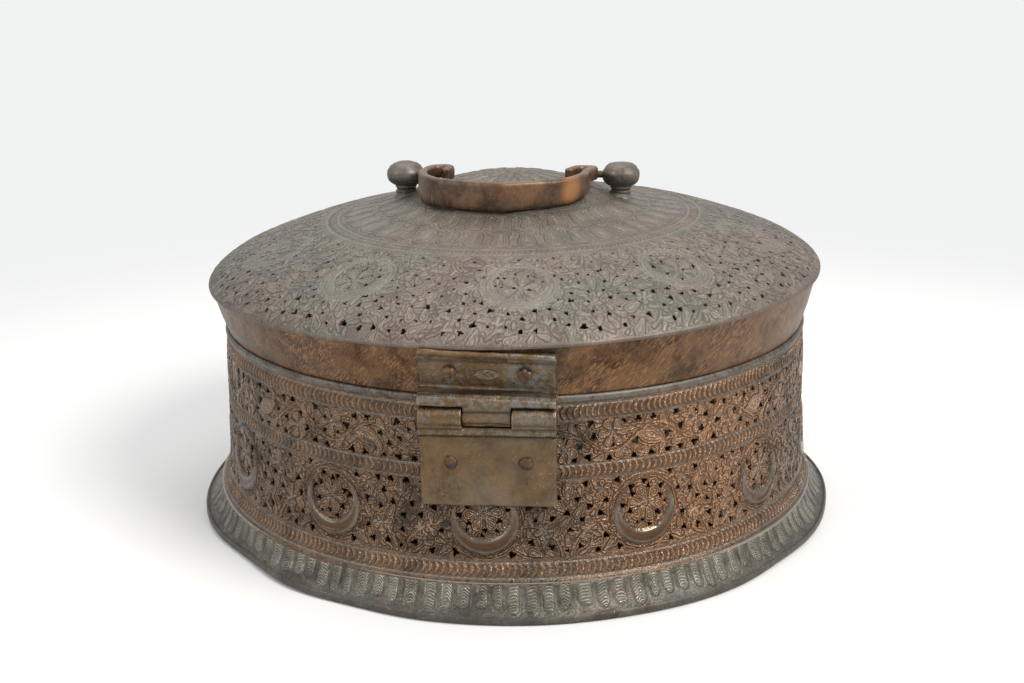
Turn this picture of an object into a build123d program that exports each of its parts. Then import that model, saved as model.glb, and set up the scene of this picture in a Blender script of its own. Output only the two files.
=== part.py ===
from build123d import *
from math import atan2, cos, radians, sin, tan
import os

# Paan box: a round pierced case on a flared foot, with a domed lid hinged at -Y.
# Millimetres, +Z up, the origin at the middle of the foot, on the surface it stands on.

# ---- driving sizes -------------------------------------------------------------------

# case
wall_mouth_radius = 123.4     # outside of the wall at its mouth
wall_swell = 1.4              # how far the wall's middle stands outside the mouth
wall_foot_flare = 6.3         # how far the wall's lower edge stands outside the mouth
wall_height = 69.6
sheet = 1.6                   # thickness of the case, band and dome sheet
bead_height = 3.0             # bead around the mouth, under the lid
bead_reach = 1.5
collar_height = 10.0          # inner strip that stands up into the lid
collar_sheet = 1.2
collar_inset = 1.0            # step from the wall's inside to the collar's outside
collar_seat = 8.0             # strip soldered to the wall below the mouth

# foot
foot_height = 12.2            # from the table to the case's bottom plate
foot_reach = 6.3              # from the plate's edge out to the rolled rim
foot_rim_width = 2.0
foot_rim_height = 3.2
foot_bearing = 2.8            # flat width of the skirt that meets the table
bottom_sheet = 1.2

# lid
lid_flare = 6.6               # how far the lid's rim stands outside the mouth
lid_band_rise = 17.7
lid_edge_height = 2.0         # thickened edge where dome and band meet
dome_rise = 38.0
dome_drop = 1.7               # upright thickness of the dome sheet

# raised work
wall_lines = (8.1, 37.3, 43.6, 59.6)    # lines between friezes and borders, above the wall's base
wall_line_width = 1.2
wall_line_reach = 0.35
wall_moons = 13
wall_moon_start = -91.2       # degrees around Z, the first moon under the hinge
wall_moon_rise = 22.2         # middle of the moons above the wall's base
wall_moon_radius = 12.6
wall_moon_reach = 0.8
dome_lines = (73.0, 82.0)     # radii of the lines beside the dome's plaited border
dome_line_reach = 0.3
dome_moons = 10
dome_moon_start = -84.7
dome_moon_out = 101.5
dome_moon_radius = 13.2
dome_moon_reach = 0.35
moon_hollow = 0.79            # radius of a moon's hollow, as a share of the moon's
moon_thick = 0.47             # widest part of a moon, as a share of its radius

# hinge at -Y
hinge_width = 49.2
hinge_plate = 2.1             # plate thickness at the middle, where it is thinnest
hinge_drop = 27.3             # lower leaf below its lip
knuckle_radius = 3.75
knuckle_split = 8.65          # half of the middle knuckle's share of the width
knuckle_gap = 0.5
hinge_pin_radius = 1.6
hinge_axis_drop = 6.0         # hinge axis below the lid's lower edge
bar_height = 4.0
bar_reach = 3.4
lip_height = 3.8
lip_reach = 3.5
plate_bevel = 0.6
rivet_radius = 1.5
rivet_head_radius = 2.7
rivet_head_height = 1.1
rivet_spread = 13.4           # each side of the hinge's middle

# handle
post_gap = 3.2                # between the bail's end and the ball
ball_radius = 8.0
ball_height = 10.0
post_neck_height = 3.9
post_neck_radius = 3.5
post_foot_radius = 5.9
post_tail_radius = 2.2
washer_radius = 5.2
washer_height = 1.6
washer_gap = 0.05             # between a washer and the dome's underside
bail_strip = 4.0              # strip thickness
bail_width = 11.6             # strip width, upright when the bail lies down
bail_drop = 7.5               # how much of it is below the pivot
bail_end_drop = 1.6           # the same at the curled ends, where the dome is high
bail_end_cut = 0.6            # how much lower the top is there
bail_side = 32.7              # strip centre to the lid's middle, at the sides
bail_reach = 44.2             # strip centre from the pivot, at the front crease
bail_curl_radius = 4.25
bail_elbow_radius = 4.5
bail_corner_radius = 20.0
bail_front_slope = 15.0       # degrees, each front facet
tenon_radius = 1.8
tenon_in_ball = 5.0

# hasp and staple at +Y
hasp_plate_width = 25.0
hasp_knuckle_radius = 2.7
hasp_knuckle_split = 5.0
hasp_pin_radius = 1.1
hasp_strap_width = 14.0
hasp_strap_length = 33.0
hasp_leaf_height = 15.0
hasp_axis_drop = 7.0          # hasp hinge axis below the mouth
staple_wire_radius = 1.4
staple_half_height = 4.6
staple_out = 8.6
staple_plate = 1.4
staple_plate_half = 7.4
staple_rise = 8.2             # middle of the loop above the lid's lower edge

# tray
tray_play = 1.6               # between the tray's bead and the collar
tray_bead_reach = 0.8
tray_height = 24.0
tray_sheet = 1.2
tray_bead = 1.9
tray_ledge_drop = 31.6        # ledge top below the mouth
tray_ledge_lap = 4.3          # how far the ledge reaches in under the tray
tray_divider = 1.4
knob_radius = 7.0
knob_height = 40.0

# fits
lid_gap = 0.3                 # lid edge above the bead
pin_play = 0.05               # between a turning part's bore and its pin
turn_gap = 0.35               # between pieces that move past each other
seat_gap = 0.3                # loose pieces above what they rest on
bail_rest_gap = 0.9           # between the lying bail's lower edge and the dome
leaf_blank = 6.0              # depth of a hinge leaf's blank behind its face, before it is cut

# ---- derived sizes -------------------------------------------------------------------

wall_base = foot_height + bottom_sheet
mouth = wall_base + wall_height
wall_profile = [
    (wall_mouth_radius + wall_foot_flare, wall_base),
    (wall_mouth_radius + 0.6 * wall_foot_flare, wall_base + 0.08 * wall_height),
    (wall_mouth_radius + wall_swell + 0.1 * wall_foot_flare, wall_base + 0.25 * wall_height),
    (wall_mouth_radius + wall_swell, wall_base + 0.48 * wall_height),
    (wall_mouth_radius + 0.72 * wall_swell, wall_base + 0.75 * wall_height),
    (wall_mouth_radius, mouth),
]
foot_top_radius = wall_mouth_radius + wall_foot_flare
foot_sheet_edge = foot_top_radius + foot_reach
foot_radius = foot_sheet_edge + foot_rim_width

band_base = mouth + lid_gap
band_top = band_base + lid_band_rise
rim_height = band_top + lid_edge_height
lid_rim_radius = wall_mouth_radius + lid_flare
band_top_radius = lid_rim_radius - 0.21 * lid_flare
band_slope = (band_top_radius - wall_mouth_radius) / lid_band_rise
dome_shape = [
    (0.0, 1.03), (0.115, 1.0), (0.215, 0.925), (0.323, 0.797), (0.415, 0.695),
    (0.508, 0.617), (0.6, 0.56), (0.723, 0.453), (0.831, 0.329), (0.923, 0.203),
    (0.977, 0.084), (1.0, 0.0),
]
dome_profile = [(r * lid_rim_radius, rim_height + h * dome_rise) for r, h in dome_shape]
dome_inner_radius = band_top_radius - sheet


def radius_at(profile, height):
    """Radius of a (radius, height) profile at a height, by straight steps."""
    steps = sorted((z, r) for r, z in profile)
    for (z0, r0), (z1, r1) in zip(steps, steps[1:]):
        if z0 <= height <= z1:
            return r0 + (r1 - r0) * (height - z0) / (z1 - z0)
    return steps[-1][1]


def height_at(profile, radius):
    """Height of a (radius, height) profile at a radius, by straight steps."""
    steps = sorted(profile)
    for (r0, z0), (r1, z1) in zip(steps, steps[1:]):
        if r0 <= radius <= r1:
            return z0 + (z1 - z0) * (radius - r0) / (r1 - r0)
    return steps[-1][1]


def lowered(profile, amount):
    return [(r, z - amount) for r, z in profile]


def narrowed(profile, amount):
    return [(r - amount, z) for r, z in profile]


def turned(curve, corners):
    """Solid of revolution: a smooth curve of (radius, height) points, then straight corners."""
    with BuildPart(mode=Mode.PRIVATE) as body:
        with BuildSketch(Plane.XZ):
            with BuildLine():
                Spline(*curve)
                Polyline(curve[-1], *corners, curve[0])
            make_face()
        revolve(axis=Axis.Z)
    return body.part


def ring(corners):
    """Solid of revolution with a straight-sided outline of (radius, height) corners."""
    with BuildPart(mode=Mode.PRIVATE) as body:
        with BuildSketch(Plane.XZ):
            with BuildLine():
                Polyline(*corners, close=True)
            make_face()
        revolve(axis=Axis.Z)
    return body.part


def bar(outline, half_width, side):
    """Prism along X with a (distance from the middle, height) outline, on side -1 or +1 of Y."""
    with BuildPart(mode=Mode.PRIVATE) as body:
        with BuildSketch(Plane.YZ):
            with BuildLine():
                Polyline(*[(side * s, z) for s, z in outline], close=True)
            make_face()
        extrude(amount=half_width, both=True)
    return body.part


def rod(radius, start, end):
    """Round rod between two points."""
    direction = Vector(*end) - Vector(*start)
    with BuildPart(mode=Mode.PRIVATE) as body:
        with BuildSketch(Plane(origin=start, z_dir=direction)):
            Circle(radius)
        extrude(amount=direction.length)
    return body.part


def rivet(foot, outward, grip, head_radius, head_height, shank_radius):
    """Rivet with a domed head outside and a smaller one inside; foot is under the outer head."""
    plane = Plane(origin=foot, z_dir=outward)
    inner_radius = 0.8 * head_radius
    inner_height = 0.7 * head_height
    with BuildPart(mode=Mode.PRIVATE) as body:
        with BuildSketch(plane.offset(-grip)):
            Circle(shank_radius)
        extrude(amount=grip)
        with BuildSketch(plane):
            Circle(head_radius)
        extrude(amount=head_height, taper=35)
        with BuildSketch(plane.offset(-grip - inner_height)):
            Circle(0.7 * inner_radius)
        extrude(amount=inner_height, taper=-20)
    return body.part


def raised_line(profile, at, reach, over_lid):
    """Low rib around Z, on a wall at a height or on a dome at a radius."""
    half = 0.5 * wall_line_width
    outline = []
    for step, out in ((-half, -0.5), (-0.5 * half, reach), (0.5 * half, reach), (half, -0.5)):
        if over_lid:
            outline.append((at + step, height_at(profile, at + step) + out))
        else:
            outline.append((radius_at(profile, at + step) + out, at + step))
    return ring(outline)


def moon(plane, radius, depth):
    """Crescent prism on a plane, thickest towards -Y of the plane."""
    hollow = moon_hollow * radius
    with BuildPart(mode=Mode.PRIVATE) as body:
        with BuildSketch(plane):
            Circle(radius)
            with Locations((0, moon_thick * radius - radius + hollow)):
                Circle(hollow, mode=Mode.SUBTRACT)
        extrude(amount=depth, both=True)
    return body.part


# solids that bound the sheet work, used to cut seats and to trim pieces to it
axis_low = (0, wall_base)
axis_high = (0, mouth)
wall_outside = turned(wall_profile, [axis_high, axis_low])
wall_inside = turned(narrowed(wall_profile, sheet), [axis_high, axis_low])
band_outside = ring([
    (0, band_base), (wall_mouth_radius, band_base), (band_top_radius, band_top), (0, band_top),
])
dome_outside = turned(dome_profile, [(lid_rim_radius, band_top), (0, band_top)])
dome_hollow_profile = [
    p for p in lowered(dome_profile, dome_drop) if p[0] < 0.95 * dome_inner_radius
] + [(dome_inner_radius, height_at(dome_profile, dome_inner_radius) - 1.2 * dome_drop)]
dome_inside = turned(dome_hollow_profile, [(dome_inner_radius, band_top), (0, band_top)])

# ---- case ----------------------------------------------------------------------------

hinge_axis_height = band_base - hinge_axis_drop
bead_radius = wall_mouth_radius + bead_reach
hinge_axis_out = bead_radius + turn_gap + knuckle_radius - 0.5
knuckle_top = hinge_axis_height + knuckle_radius
lip_top = hinge_axis_height - knuckle_radius - 0.2
lip_base = lip_top - lip_height
lower_face = radius_at(wall_profile, 0.5 * (lip_base + wall_base)) + hinge_plate
lower_plate_base = lip_base - hinge_drop
lower_rivet_height = lip_base - 0.38 * hinge_drop
upper_plate_top = band_top - 0.2
upper_rivet_height = band_base + 0.52 * lid_band_rise
band_tilt = atan2(band_slope, 1.0)
band_normal = (cos(band_tilt), -sin(band_tilt))
hinge_half = 0.5 * hinge_width


def band_face(height):
    return wall_mouth_radius + (height - band_base) * band_slope


rivet_grip = hinge_plate + sheet + 2.6
lower_rivets = [
    rivet((x, -lower_face, lower_rivet_height), (0, -1, 0), rivet_grip,
          rivet_head_radius, rivet_head_height, rivet_radius)
    for x in (-rivet_spread, rivet_spread)
]
upper_face_at_rivet = band_face(upper_rivet_height) + hinge_plate
upper_rivets = [
    rivet((x, -upper_face_at_rivet, upper_rivet_height),
          (0, -band_normal[0], band_normal[1]), rivet_grip,
          rivet_head_radius, rivet_head_height, rivet_radius)
    for x in (-rivet_spread, rivet_spread)
]

hasp_axis_height = mouth - hasp_axis_drop
hasp_plate = 1.8
hasp_leaf_face = radius_at(wall_profile, hasp_axis_height - 0.5 * hasp_leaf_height) + hasp_plate
hasp_axis_out = hasp_leaf_face + 0.75 * hasp_knuckle_radius
hasp_rivet_height = hasp_axis_height - 0.62 * hasp_leaf_height
hasp_rivets_made = [
    rivet((x, hasp_leaf_face, hasp_rivet_height), (0, 1, 0), hasp_plate + sheet + 0.4,
          0.75 * rivet_head_radius, 0.8 * rivet_head_height, 0.8 * rivet_radius)
    for x in (-0.32 * hasp_plate_width, 0.32 * hasp_plate_width)
]
staple_height = band_base + staple_rise
staple_face = band_face(staple_height + staple_plate_half) + staple_plate
staple_holes = [
    rod(staple_wire_radius,
        (0, band_face(staple_height + h) - sheet - 0.8, staple_height + h),
        (0, staple_face + 2, staple_height + h))
    for h in (-staple_half_height, staple_half_height)
]

wall_moon_height = wall_base + wall_moon_rise
wall_moon_out = radius_at(wall_profile, wall_moon_height)
wall_moon_skin = (
    turned(narrowed(wall_profile, -wall_moon_reach), [axis_high, axis_low])
    - turned(narrowed(wall_profile, 0.4 * sheet), [axis_high, axis_low])
)
with BuildPart() as wall_relief:
    for k in range(wall_moons):
        angle = radians(wall_moon_start + k * 360 / wall_moons)
        outward = (cos(angle), sin(angle), 0)
        facing = Plane(
            origin=(wall_moon_out * outward[0], wall_moon_out * outward[1], wall_moon_height),
            x_dir=(-outward[1], outward[0], 0), z_dir=outward,
        )
        add(moon(facing, wall_moon_radius, 3 * sheet))
    add(wall_moon_skin, mode=Mode.INTERSECT)
    for line in wall_lines:
        add(raised_line(wall_profile, wall_base + line, wall_line_reach, over_lid=False))

with BuildPart() as case_wall:
    with BuildSketch(Plane.XZ):
        with BuildLine():
            outer = Spline(*wall_profile)
            inner = Spline(*narrowed(wall_profile, sheet))
            Line(outer @ 0, inner @ 0)
            Line(outer @ 1, inner @ 1)
        make_face()
    revolve(axis=Axis.Z)
    add(wall_relief)
    for tool in lower_rivets + hasp_rivets_made:
        add(tool, mode=Mode.SUBTRACT)

with BuildPart() as mouth_bead:
    with BuildSketch(Plane.XZ):
        with BuildLine():
            Polyline(
                (wall_mouth_radius - sheet, mouth - bead_height),
                (bead_radius - 0.35 * bead_reach, mouth - bead_height),
                (bead_radius, mouth - 0.7 * bead_height),
                (bead_radius, mouth - 0.3 * bead_height),
                (bead_radius - 0.35 * bead_reach, mouth),
                (wall_mouth_radius - sheet, mouth),
                close=True,
            )
        make_face()
    revolve(axis=Axis.Z)
    add(wall_outside, mode=Mode.SUBTRACT)

collar_outside = wall_mouth_radius - sheet - collar_inset
collar_lean = 0.7 * collar_inset
collar_inside = collar_outside - collar_lean - collar_sheet
with BuildPart() as lid_collar:
    add(ring([
        (collar_outside - collar_sheet, mouth - collar_seat),
        (wall_mouth_radius + wall_swell, mouth - collar_seat),
        (wall_mouth_radius + wall_swell, mouth),
        (collar_outside - collar_sheet, mouth),
    ]))
    add(wall_inside, mode=Mode.INTERSECT)
    add(ring([
        (collar_outside, mouth - 0.5),
        (collar_outside - collar_lean, mouth + collar_height),
        (collar_inside, mouth + collar_height),
        (collar_outside - collar_sheet, mouth - 0.5),
    ]))

ledge_top = mouth - tray_ledge_drop
tray_radius = collar_inside - tray_play - tray_bead_reach
ledge_inner = tray_radius - tray_ledge_lap
with BuildPart() as tray_ledge:
    add(ring([
        (ledge_inner, ledge_top - 1.4),
        (wall_mouth_radius + 2 * wall_swell, ledge_top - 1.4),
        (wall_mouth_radius + 2 * wall_swell, ledge_top),
        (ledge_inner, ledge_top),
    ]))
    add(wall_inside, mode=Mode.INTERSECT)

with BuildPart() as bottom_plate:
    with BuildSketch(Plane.XY.offset(foot_height)):
        Circle(foot_top_radius + 0.3)
    extrude(amount=bottom_sheet)

skirt_outer = [
    (foot_top_radius, foot_height),
    (foot_top_radius + 0.24 * foot_reach, 0.74 * foot_height),
    (foot_top_radius + 0.58 * foot_reach, 0.47 * foot_height),
    (foot_sheet_edge, foot_rim_height - 0.4),
]
skirt_inner = [
    (foot_top_radius - sheet, foot_height),
    (foot_top_radius - 0.03 * foot_reach, 0.66 * foot_height),
    (foot_top_radius + 0.34 * foot_reach, 0.36 * foot_height),
    (foot_sheet_edge - foot_bearing, 0.16 * foot_height),
]
with BuildPart() as foot_skirt:
    with BuildSketch(Plane.XZ):
        with BuildLine():
            Spline(*skirt_outer)
            Polyline(
                skirt_outer[-1],
                (foot_sheet_edge, 0),
                (foot_sheet_edge - foot_bearing, 0),
                skirt_inner[-1],
            )
            Spline(*skirt_inner)
            Line(skirt_inner[0], skirt_outer[0])
        make_face()
    revolve(axis=Axis.Z)

with BuildPart() as foot_rim:
    with BuildSketch(Plane.XZ):
        with BuildLine():
            Polyline(
                (foot_sheet_edge, 0),
                (foot_radius - 0.2 * foot_rim_width, 0),
                (foot_radius, 0.25 * foot_rim_height),
                (foot_radius, 0.7 * foot_rim_height),
                (foot_radius - 0.35 * foot_rim_width, foot_rim_height),
                (foot_sheet_edge, foot_rim_height),
                close=True,
            )
        make_face()
    revolve(axis=Axis.Z)

# ---- hinge, lower half ---------------------------------------------------------------

hinge_bore = rod(
    hinge_pin_radius,
    (-hinge_width, -hinge_axis_out, hinge_axis_height),
    (hinge_width, -hinge_axis_out, hinge_axis_height),
)
outer_knuckle_start = knuckle_split + 0.5 * knuckle_gap
outer_knuckle_length = hinge_half - outer_knuckle_start
plate_depth = hinge_plate + leaf_blank

with BuildPart() as hinge_lower_leaf:
    with BuildSketch(Plane.XZ.offset(lower_face)):
        with Locations((0, 0.5 * (lower_plate_base + lip_top))):
            Rectangle(hinge_width, lip_top - lower_plate_base)
    extrude(amount=-plate_depth)
    chamfer(hinge_lower_leaf.faces().sort_by(Axis.Y)[0].edges(), plate_bevel)
    add(bar([
        (lower_face - 1, lip_base), (lower_face + lip_reach - 0.6, lip_base),
        (lower_face + lip_reach, lip_base + 0.8), (lower_face + lip_reach, lip_top - 0.5),
        (lower_face + lip_reach - 0.6, lip_top), (lower_face - 1, lip_top),
    ], hinge_half, -1))
    for side in (-1, 1):
        start = side * outer_knuckle_start
        end = side * hinge_half
        add(rod(knuckle_radius, (start, -hinge_axis_out, hinge_axis_height),
                (end, -hinge_axis_out, hinge_axis_height)))
        with BuildSketch(Plane.YZ.offset(start)):
            with Locations((-hinge_axis_out, 0.5 * (hinge_axis_height + lip_base + 1))):
                Rectangle(1.3 * knuckle_radius, hinge_axis_height - lip_base - 1)
        extrude(amount=side * outer_knuckle_length)
    add(wall_outside, mode=Mode.SUBTRACT)
    add(wall_relief, mode=Mode.SUBTRACT)
    add(hinge_bore, mode=Mode.SUBTRACT)
    for tool in lower_rivets:
        add(tool, mode=Mode.SUBTRACT)

with BuildPart() as hinge_lower_rivets:
    for solid in lower_rivets:
        add(solid)

with BuildPart() as hinge_pin:
    add(rod(
        hinge_pin_radius,
        (-hinge_half, -hinge_axis_out, hinge_axis_height),
        (hinge_half, -hinge_axis_out, hinge_axis_height),
    ))
    for side in (-1, 1):
        add(rod(
            1.3 * hinge_pin_radius,
            (side * hinge_half, -hinge_axis_out, hinge_axis_height),
            (side * (hinge_half + 0.8), -hinge_axis_out, hinge_axis_height),
        ))

# ---- hinge, upper half ---------------------------------------------------------------

bar_base = knuckle_top + turn_gap
bar_front = hinge_axis_out + bar_reach
bar_back = bead_radius + turn_gap + 0.3
bar_top = bar_base + bar_height
leaf_back = wall_mouth_radius - leaf_blank
with BuildPart() as hinge_upper_leaf:
    add(bar([
        (leaf_back, bar_base + 2.8),
        (bar_back, bar_base + 2.8),
        (bar_back, bar_base),
        (bar_front - 0.5, bar_base),
        (bar_front, bar_base + 0.3 * bar_height),
        (bar_front - 0.4, bar_base + 0.65 * bar_height),
        (bar_front - 1.8, bar_base + 0.95 * bar_height),
        (band_face(bar_top + 0.4) + hinge_plate, bar_top + 0.4),
        (band_face(upper_plate_top) + hinge_plate, upper_plate_top),
        (leaf_back, upper_plate_top),
    ], hinge_half, -1))
    leaf_front = hinge_upper_leaf.faces().filter_by(
        lambda f: f.normal_at().Y < -0.7
    ).sort_by(SortBy.AREA)[-1]
    front_sides = leaf_front.edges().filter_by(GeomType.LINE).sort_by(Axis.Z)[1:]
    chamfer(front_sides, plate_bevel)
    add(rod(knuckle_radius - 0.2, (-knuckle_split + 0.25, -hinge_axis_out, hinge_axis_height),
            (knuckle_split - 0.25, -hinge_axis_out, hinge_axis_height)))
    add(bar([
        (hinge_axis_out - 0.72 * knuckle_radius, hinge_axis_height),
        (hinge_axis_out + 0.72 * knuckle_radius, hinge_axis_height),
        (hinge_axis_out + 0.72 * knuckle_radius, bar_base + 0.5),
        (hinge_axis_out - 0.72 * knuckle_radius, bar_base + 0.5),
    ], knuckle_split - 0.25, -1))
    add(band_outside, mode=Mode.SUBTRACT)
    add(rod(
        hinge_pin_radius + pin_play,
        (-hinge_width, -hinge_axis_out, hinge_axis_height),
        (hinge_width, -hinge_axis_out, hinge_axis_height),
    ), mode=Mode.SUBTRACT)
    for tool in upper_rivets:
        add(tool, mode=Mode.SUBTRACT)

with BuildPart() as hinge_upper_rivets:
    for solid in upper_rivets:
        add(solid)

# ---- lid -----------------------------------------------------------------------------

with BuildPart() as lid_band:
    add(ring([
        (wall_mouth_radius, band_base),
        (band_top_radius, band_top),
        (band_top_radius - sheet, band_top),
        (wall_mouth_radius - sheet, band_base),
    ]))
    for tool in upper_rivets + staple_holes:
        add(tool, mode=Mode.SUBTRACT)

block_end = bail_side + 0.5 * bail_strip
post_span = block_end + post_gap + ball_radius      # each post from the lid's middle
post_seat = height_at(dome_profile, post_span)
pivot_height = post_seat + post_neck_height + 0.5 * ball_height
washer_top = post_seat - dome_drop
tail_end = washer_top - washer_height - 1.0
tails = [
    rod(post_tail_radius, (side * post_span, 0, tail_end), (side * post_span, 0, post_seat + 2))
    for side in (-1, 1)
]

dome_moon_skin = Pos(0, 0, dome_moon_reach) * dome_outside - Pos(0, 0, -0.4 * dome_drop) * dome_outside
with BuildPart() as dome_relief:
    for k in range(dome_moons):
        angle = radians(dome_moon_start + k * 360 / dome_moons)
        spot = (dome_moon_out * cos(angle), dome_moon_out * sin(angle), rim_height)
        upright = Plane(origin=spot, x_dir=(sin(angle), -cos(angle), 0), z_dir=(0, 0, 1))
        add(moon(upright, dome_moon_radius, dome_rise))
    add(dome_moon_skin, mode=Mode.INTERSECT)
    for line in dome_lines:
        add(raised_line(dome_profile, line, dome_line_reach, over_lid=True))

with BuildPart() as lid_dome:
    add(dome_outside)
    add(dome_inside, mode=Mode.SUBTRACT)
    add(dome_relief)
    for tool in tails:
        add(tool, mode=Mode.SUBTRACT)


def post(side):
    """Turned handle post with its tail through the lid and a bore for the bail's tenon."""
    ball_base = post_seat + post_neck_height
    ball_top = ball_base + ball_height
    with BuildPart(mode=Mode.PRIVATE) as body:
        with BuildSketch(Plane.XZ):
            with BuildLine():
                Polyline(
                    (0, ball_top), (0, post_seat - 4), (post_foot_radius, post_seat - 4),
                    (post_foot_radius, post_seat - 0.3), (post_neck_radius + 0.6, post_seat + 1.6),
                    (post_neck_radius, post_seat + 2.5),
                    (post_neck_radius + 1.2, post_seat + 3.0),
                    (post_neck_radius + 1.2, ball_base - 0.2), (post_neck_radius, ball_base),
                )
                Spline(
                    (post_neck_radius, ball_base),
                    (0.93 * ball_radius, ball_base + 0.26 * ball_height),
                    (ball_radius, ball_base + 0.5 * ball_height),
                    (0.9 * ball_radius, ball_base + 0.8 * ball_height),
                    (0.55 * ball_radius, ball_base + 0.96 * ball_height),
                    (0, ball_top),
                )
            make_face()
        revolve(axis=Axis.Z)
    placed = Pos(side * post_span, 0, 0) * body.part
    trimmed = placed - dome_outside
    bore = rod(tenon_radius + pin_play, (side * (post_span - 2 * ball_radius), 0, pivot_height),
               (side * (post_span - ball_radius + tenon_in_ball + 1), 0, pivot_height))
    tail = rod(post_tail_radius, (side * post_span, 0, tail_end),
               (side * post_span, 0, post_seat + 1))
    return trimmed + tail - bore


with BuildPart() as handle_post_left:
    add(post(-1))

with BuildPart() as handle_post_right:
    add(post(1))

with BuildPart() as post_washers:
    for side in (-1, 1):
        with Locations((side * post_span, 0, washer_top - washer_height)):
            Cylinder(washer_radius, washer_height + 6,
                     align=(Align.CENTER, Align.CENTER, Align.MIN))
    add(Pos(0, 0, -washer_gap) * dome_inside, mode=Mode.INTERSECT)
    for tool in tails:
        add(tool, mode=Mode.SUBTRACT)

# ---- bail ----------------------------------------------------------------------------

curl_centre = bail_side - bail_elbow_radius
curl_depth = 2 * bail_curl_radius
elbow_low = curl_depth + bail_elbow_radius
slope = radians(bail_front_slope)
corner_x = bail_side - bail_corner_radius + bail_corner_radius * sin(slope)
corner_end = bail_reach - corner_x * tan(slope)
corner_start = corner_end - bail_corner_radius * cos(slope)

with BuildPart() as handle_bail:
    with BuildSketch(Plane.XY.offset(pivot_height - bail_drop)):
        for side in (-1, 1):
            with BuildLine():
                Line((side * block_end, 0), (side * curl_centre, 0))
                CenterArc((side * curl_centre, -bail_curl_radius), bail_curl_radius, 90, side * 180)
                CenterArc((side * curl_centre, -elbow_low), bail_elbow_radius, 90, -side * 90)
                Line((side * bail_side, -elbow_low), (side * bail_side, -corner_start))
                CenterArc(
                    (side * (bail_side - bail_corner_radius), -corner_start), bail_corner_radius,
                    0 if side > 0 else 180, -side * (90 - bail_front_slope),
                )
                Line((side * corner_x, -corner_end), (0, -bail_reach))
            trace(line_width=bail_strip)
        with BuildLine():
            Polyline((-2, -bail_reach + 0.5 * bail_strip), (2, -bail_reach + 0.5 * bail_strip),
                     (0.5, -bail_reach - 0.5 * bail_strip), (-0.5, -bail_reach - 0.5 * bail_strip),
                     close=True)
        make_face()
    extrude(amount=bail_width)
    low = pivot_height - bail_drop
    top = low + bail_width
    end_low = pivot_height - bail_end_drop
    end_top = top - bail_end_cut
    full_from = 0.5 * (elbow_low + corner_start)
    beyond = bail_reach + 2 * bail_strip
    add(bar([
        (-2 * bail_strip, end_top), (curl_depth, end_top), (full_from, top),
        (beyond, top), (beyond, low), (full_from, low),
        (curl_depth, end_low), (-2 * bail_strip, end_low),
    ], 2 * bail_side, -1), mode=Mode.INTERSECT)
    add(Pos(0, 0, bail_rest_gap) * dome_outside, mode=Mode.SUBTRACT)
    for side in (-1, 1):
        add(rod(tenon_radius, (side * (block_end - 1), 0, pivot_height),
                (side * (block_end + post_gap + tenon_in_ball), 0, pivot_height)))

# ---- hasp on the case and staple on the lid, at +Y -------------------------------------

hasp_half = 0.5 * hasp_plate_width
hasp_knuckle_inner = hasp_knuckle_split + 0.3
hasp_line = [(x, hasp_axis_out, hasp_axis_height) for x in (-hasp_half, hasp_half)]

with BuildPart() as hasp_fixed_leaf:
    add(bar([
        (hasp_leaf_face - leaf_blank, hasp_axis_height - hasp_leaf_height),
        (hasp_leaf_face, hasp_axis_height - hasp_leaf_height),
        (hasp_leaf_face, hasp_axis_height),
        (hasp_leaf_face - leaf_blank, hasp_axis_height),
    ], hasp_half, 1))
    for side in (-1, 1):
        add(rod(hasp_knuckle_radius, (side * hasp_knuckle_inner, hasp_axis_out, hasp_axis_height),
                (side * hasp_half, hasp_axis_out, hasp_axis_height)))
    with BuildSketch(Plane.XY.offset(hasp_axis_height - hasp_knuckle_radius - turn_gap)):
        with Locations((0, hasp_axis_out)):
            Rectangle(2 * hasp_knuckle_inner, 3 * hasp_knuckle_radius)
    extrude(amount=2 * hasp_knuckle_radius, mode=Mode.SUBTRACT)
    add(wall_outside, mode=Mode.SUBTRACT)
    add(wall_relief, mode=Mode.SUBTRACT)
    add(rod(hasp_pin_radius, *hasp_line), mode=Mode.SUBTRACT)
    for tool in hasp_rivets_made:
        add(tool, mode=Mode.SUBTRACT)

with BuildPart() as hasp_rivets:
    for solid in hasp_rivets_made:
        add(solid)

with BuildPart() as hasp_pin:
    add(rod(hasp_pin_radius, *hasp_line))

# The strap hangs from its pin; swung up, its slot passes over the staple on the lid.
strap_end = hasp_axis_height - hasp_strap_length
strap_neck = hasp_axis_height - hasp_knuckle_radius
slot_middle = hasp_axis_height - (staple_height - hasp_axis_height)
slot_half = staple_half_height + staple_wire_radius + 1.4
with BuildPart() as hasp_strap:
    with BuildSketch(Plane.XZ.offset(-hasp_axis_out)):
        with Locations((0, 0.5 * (strap_neck + strap_end))):
            RectangleRounded(hasp_strap_width, strap_neck - strap_end, 4)
        with Locations((0, strap_neck)):
            Rectangle(2 * hasp_knuckle_split, 2 * hasp_knuckle_radius)
        with Locations((0, slot_middle)):
            Rectangle(2 * staple_wire_radius + 2.2, 2 * slot_half, mode=Mode.SUBTRACT)
    extrude(amount=-2)
    add(rod(hasp_knuckle_radius - 0.1, (-hasp_knuckle_split, hasp_axis_out, hasp_axis_height),
            (hasp_knuckle_split, hasp_axis_out, hasp_axis_height)))
    add(rod(hasp_pin_radius + pin_play, *hasp_line), mode=Mode.SUBTRACT)

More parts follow.
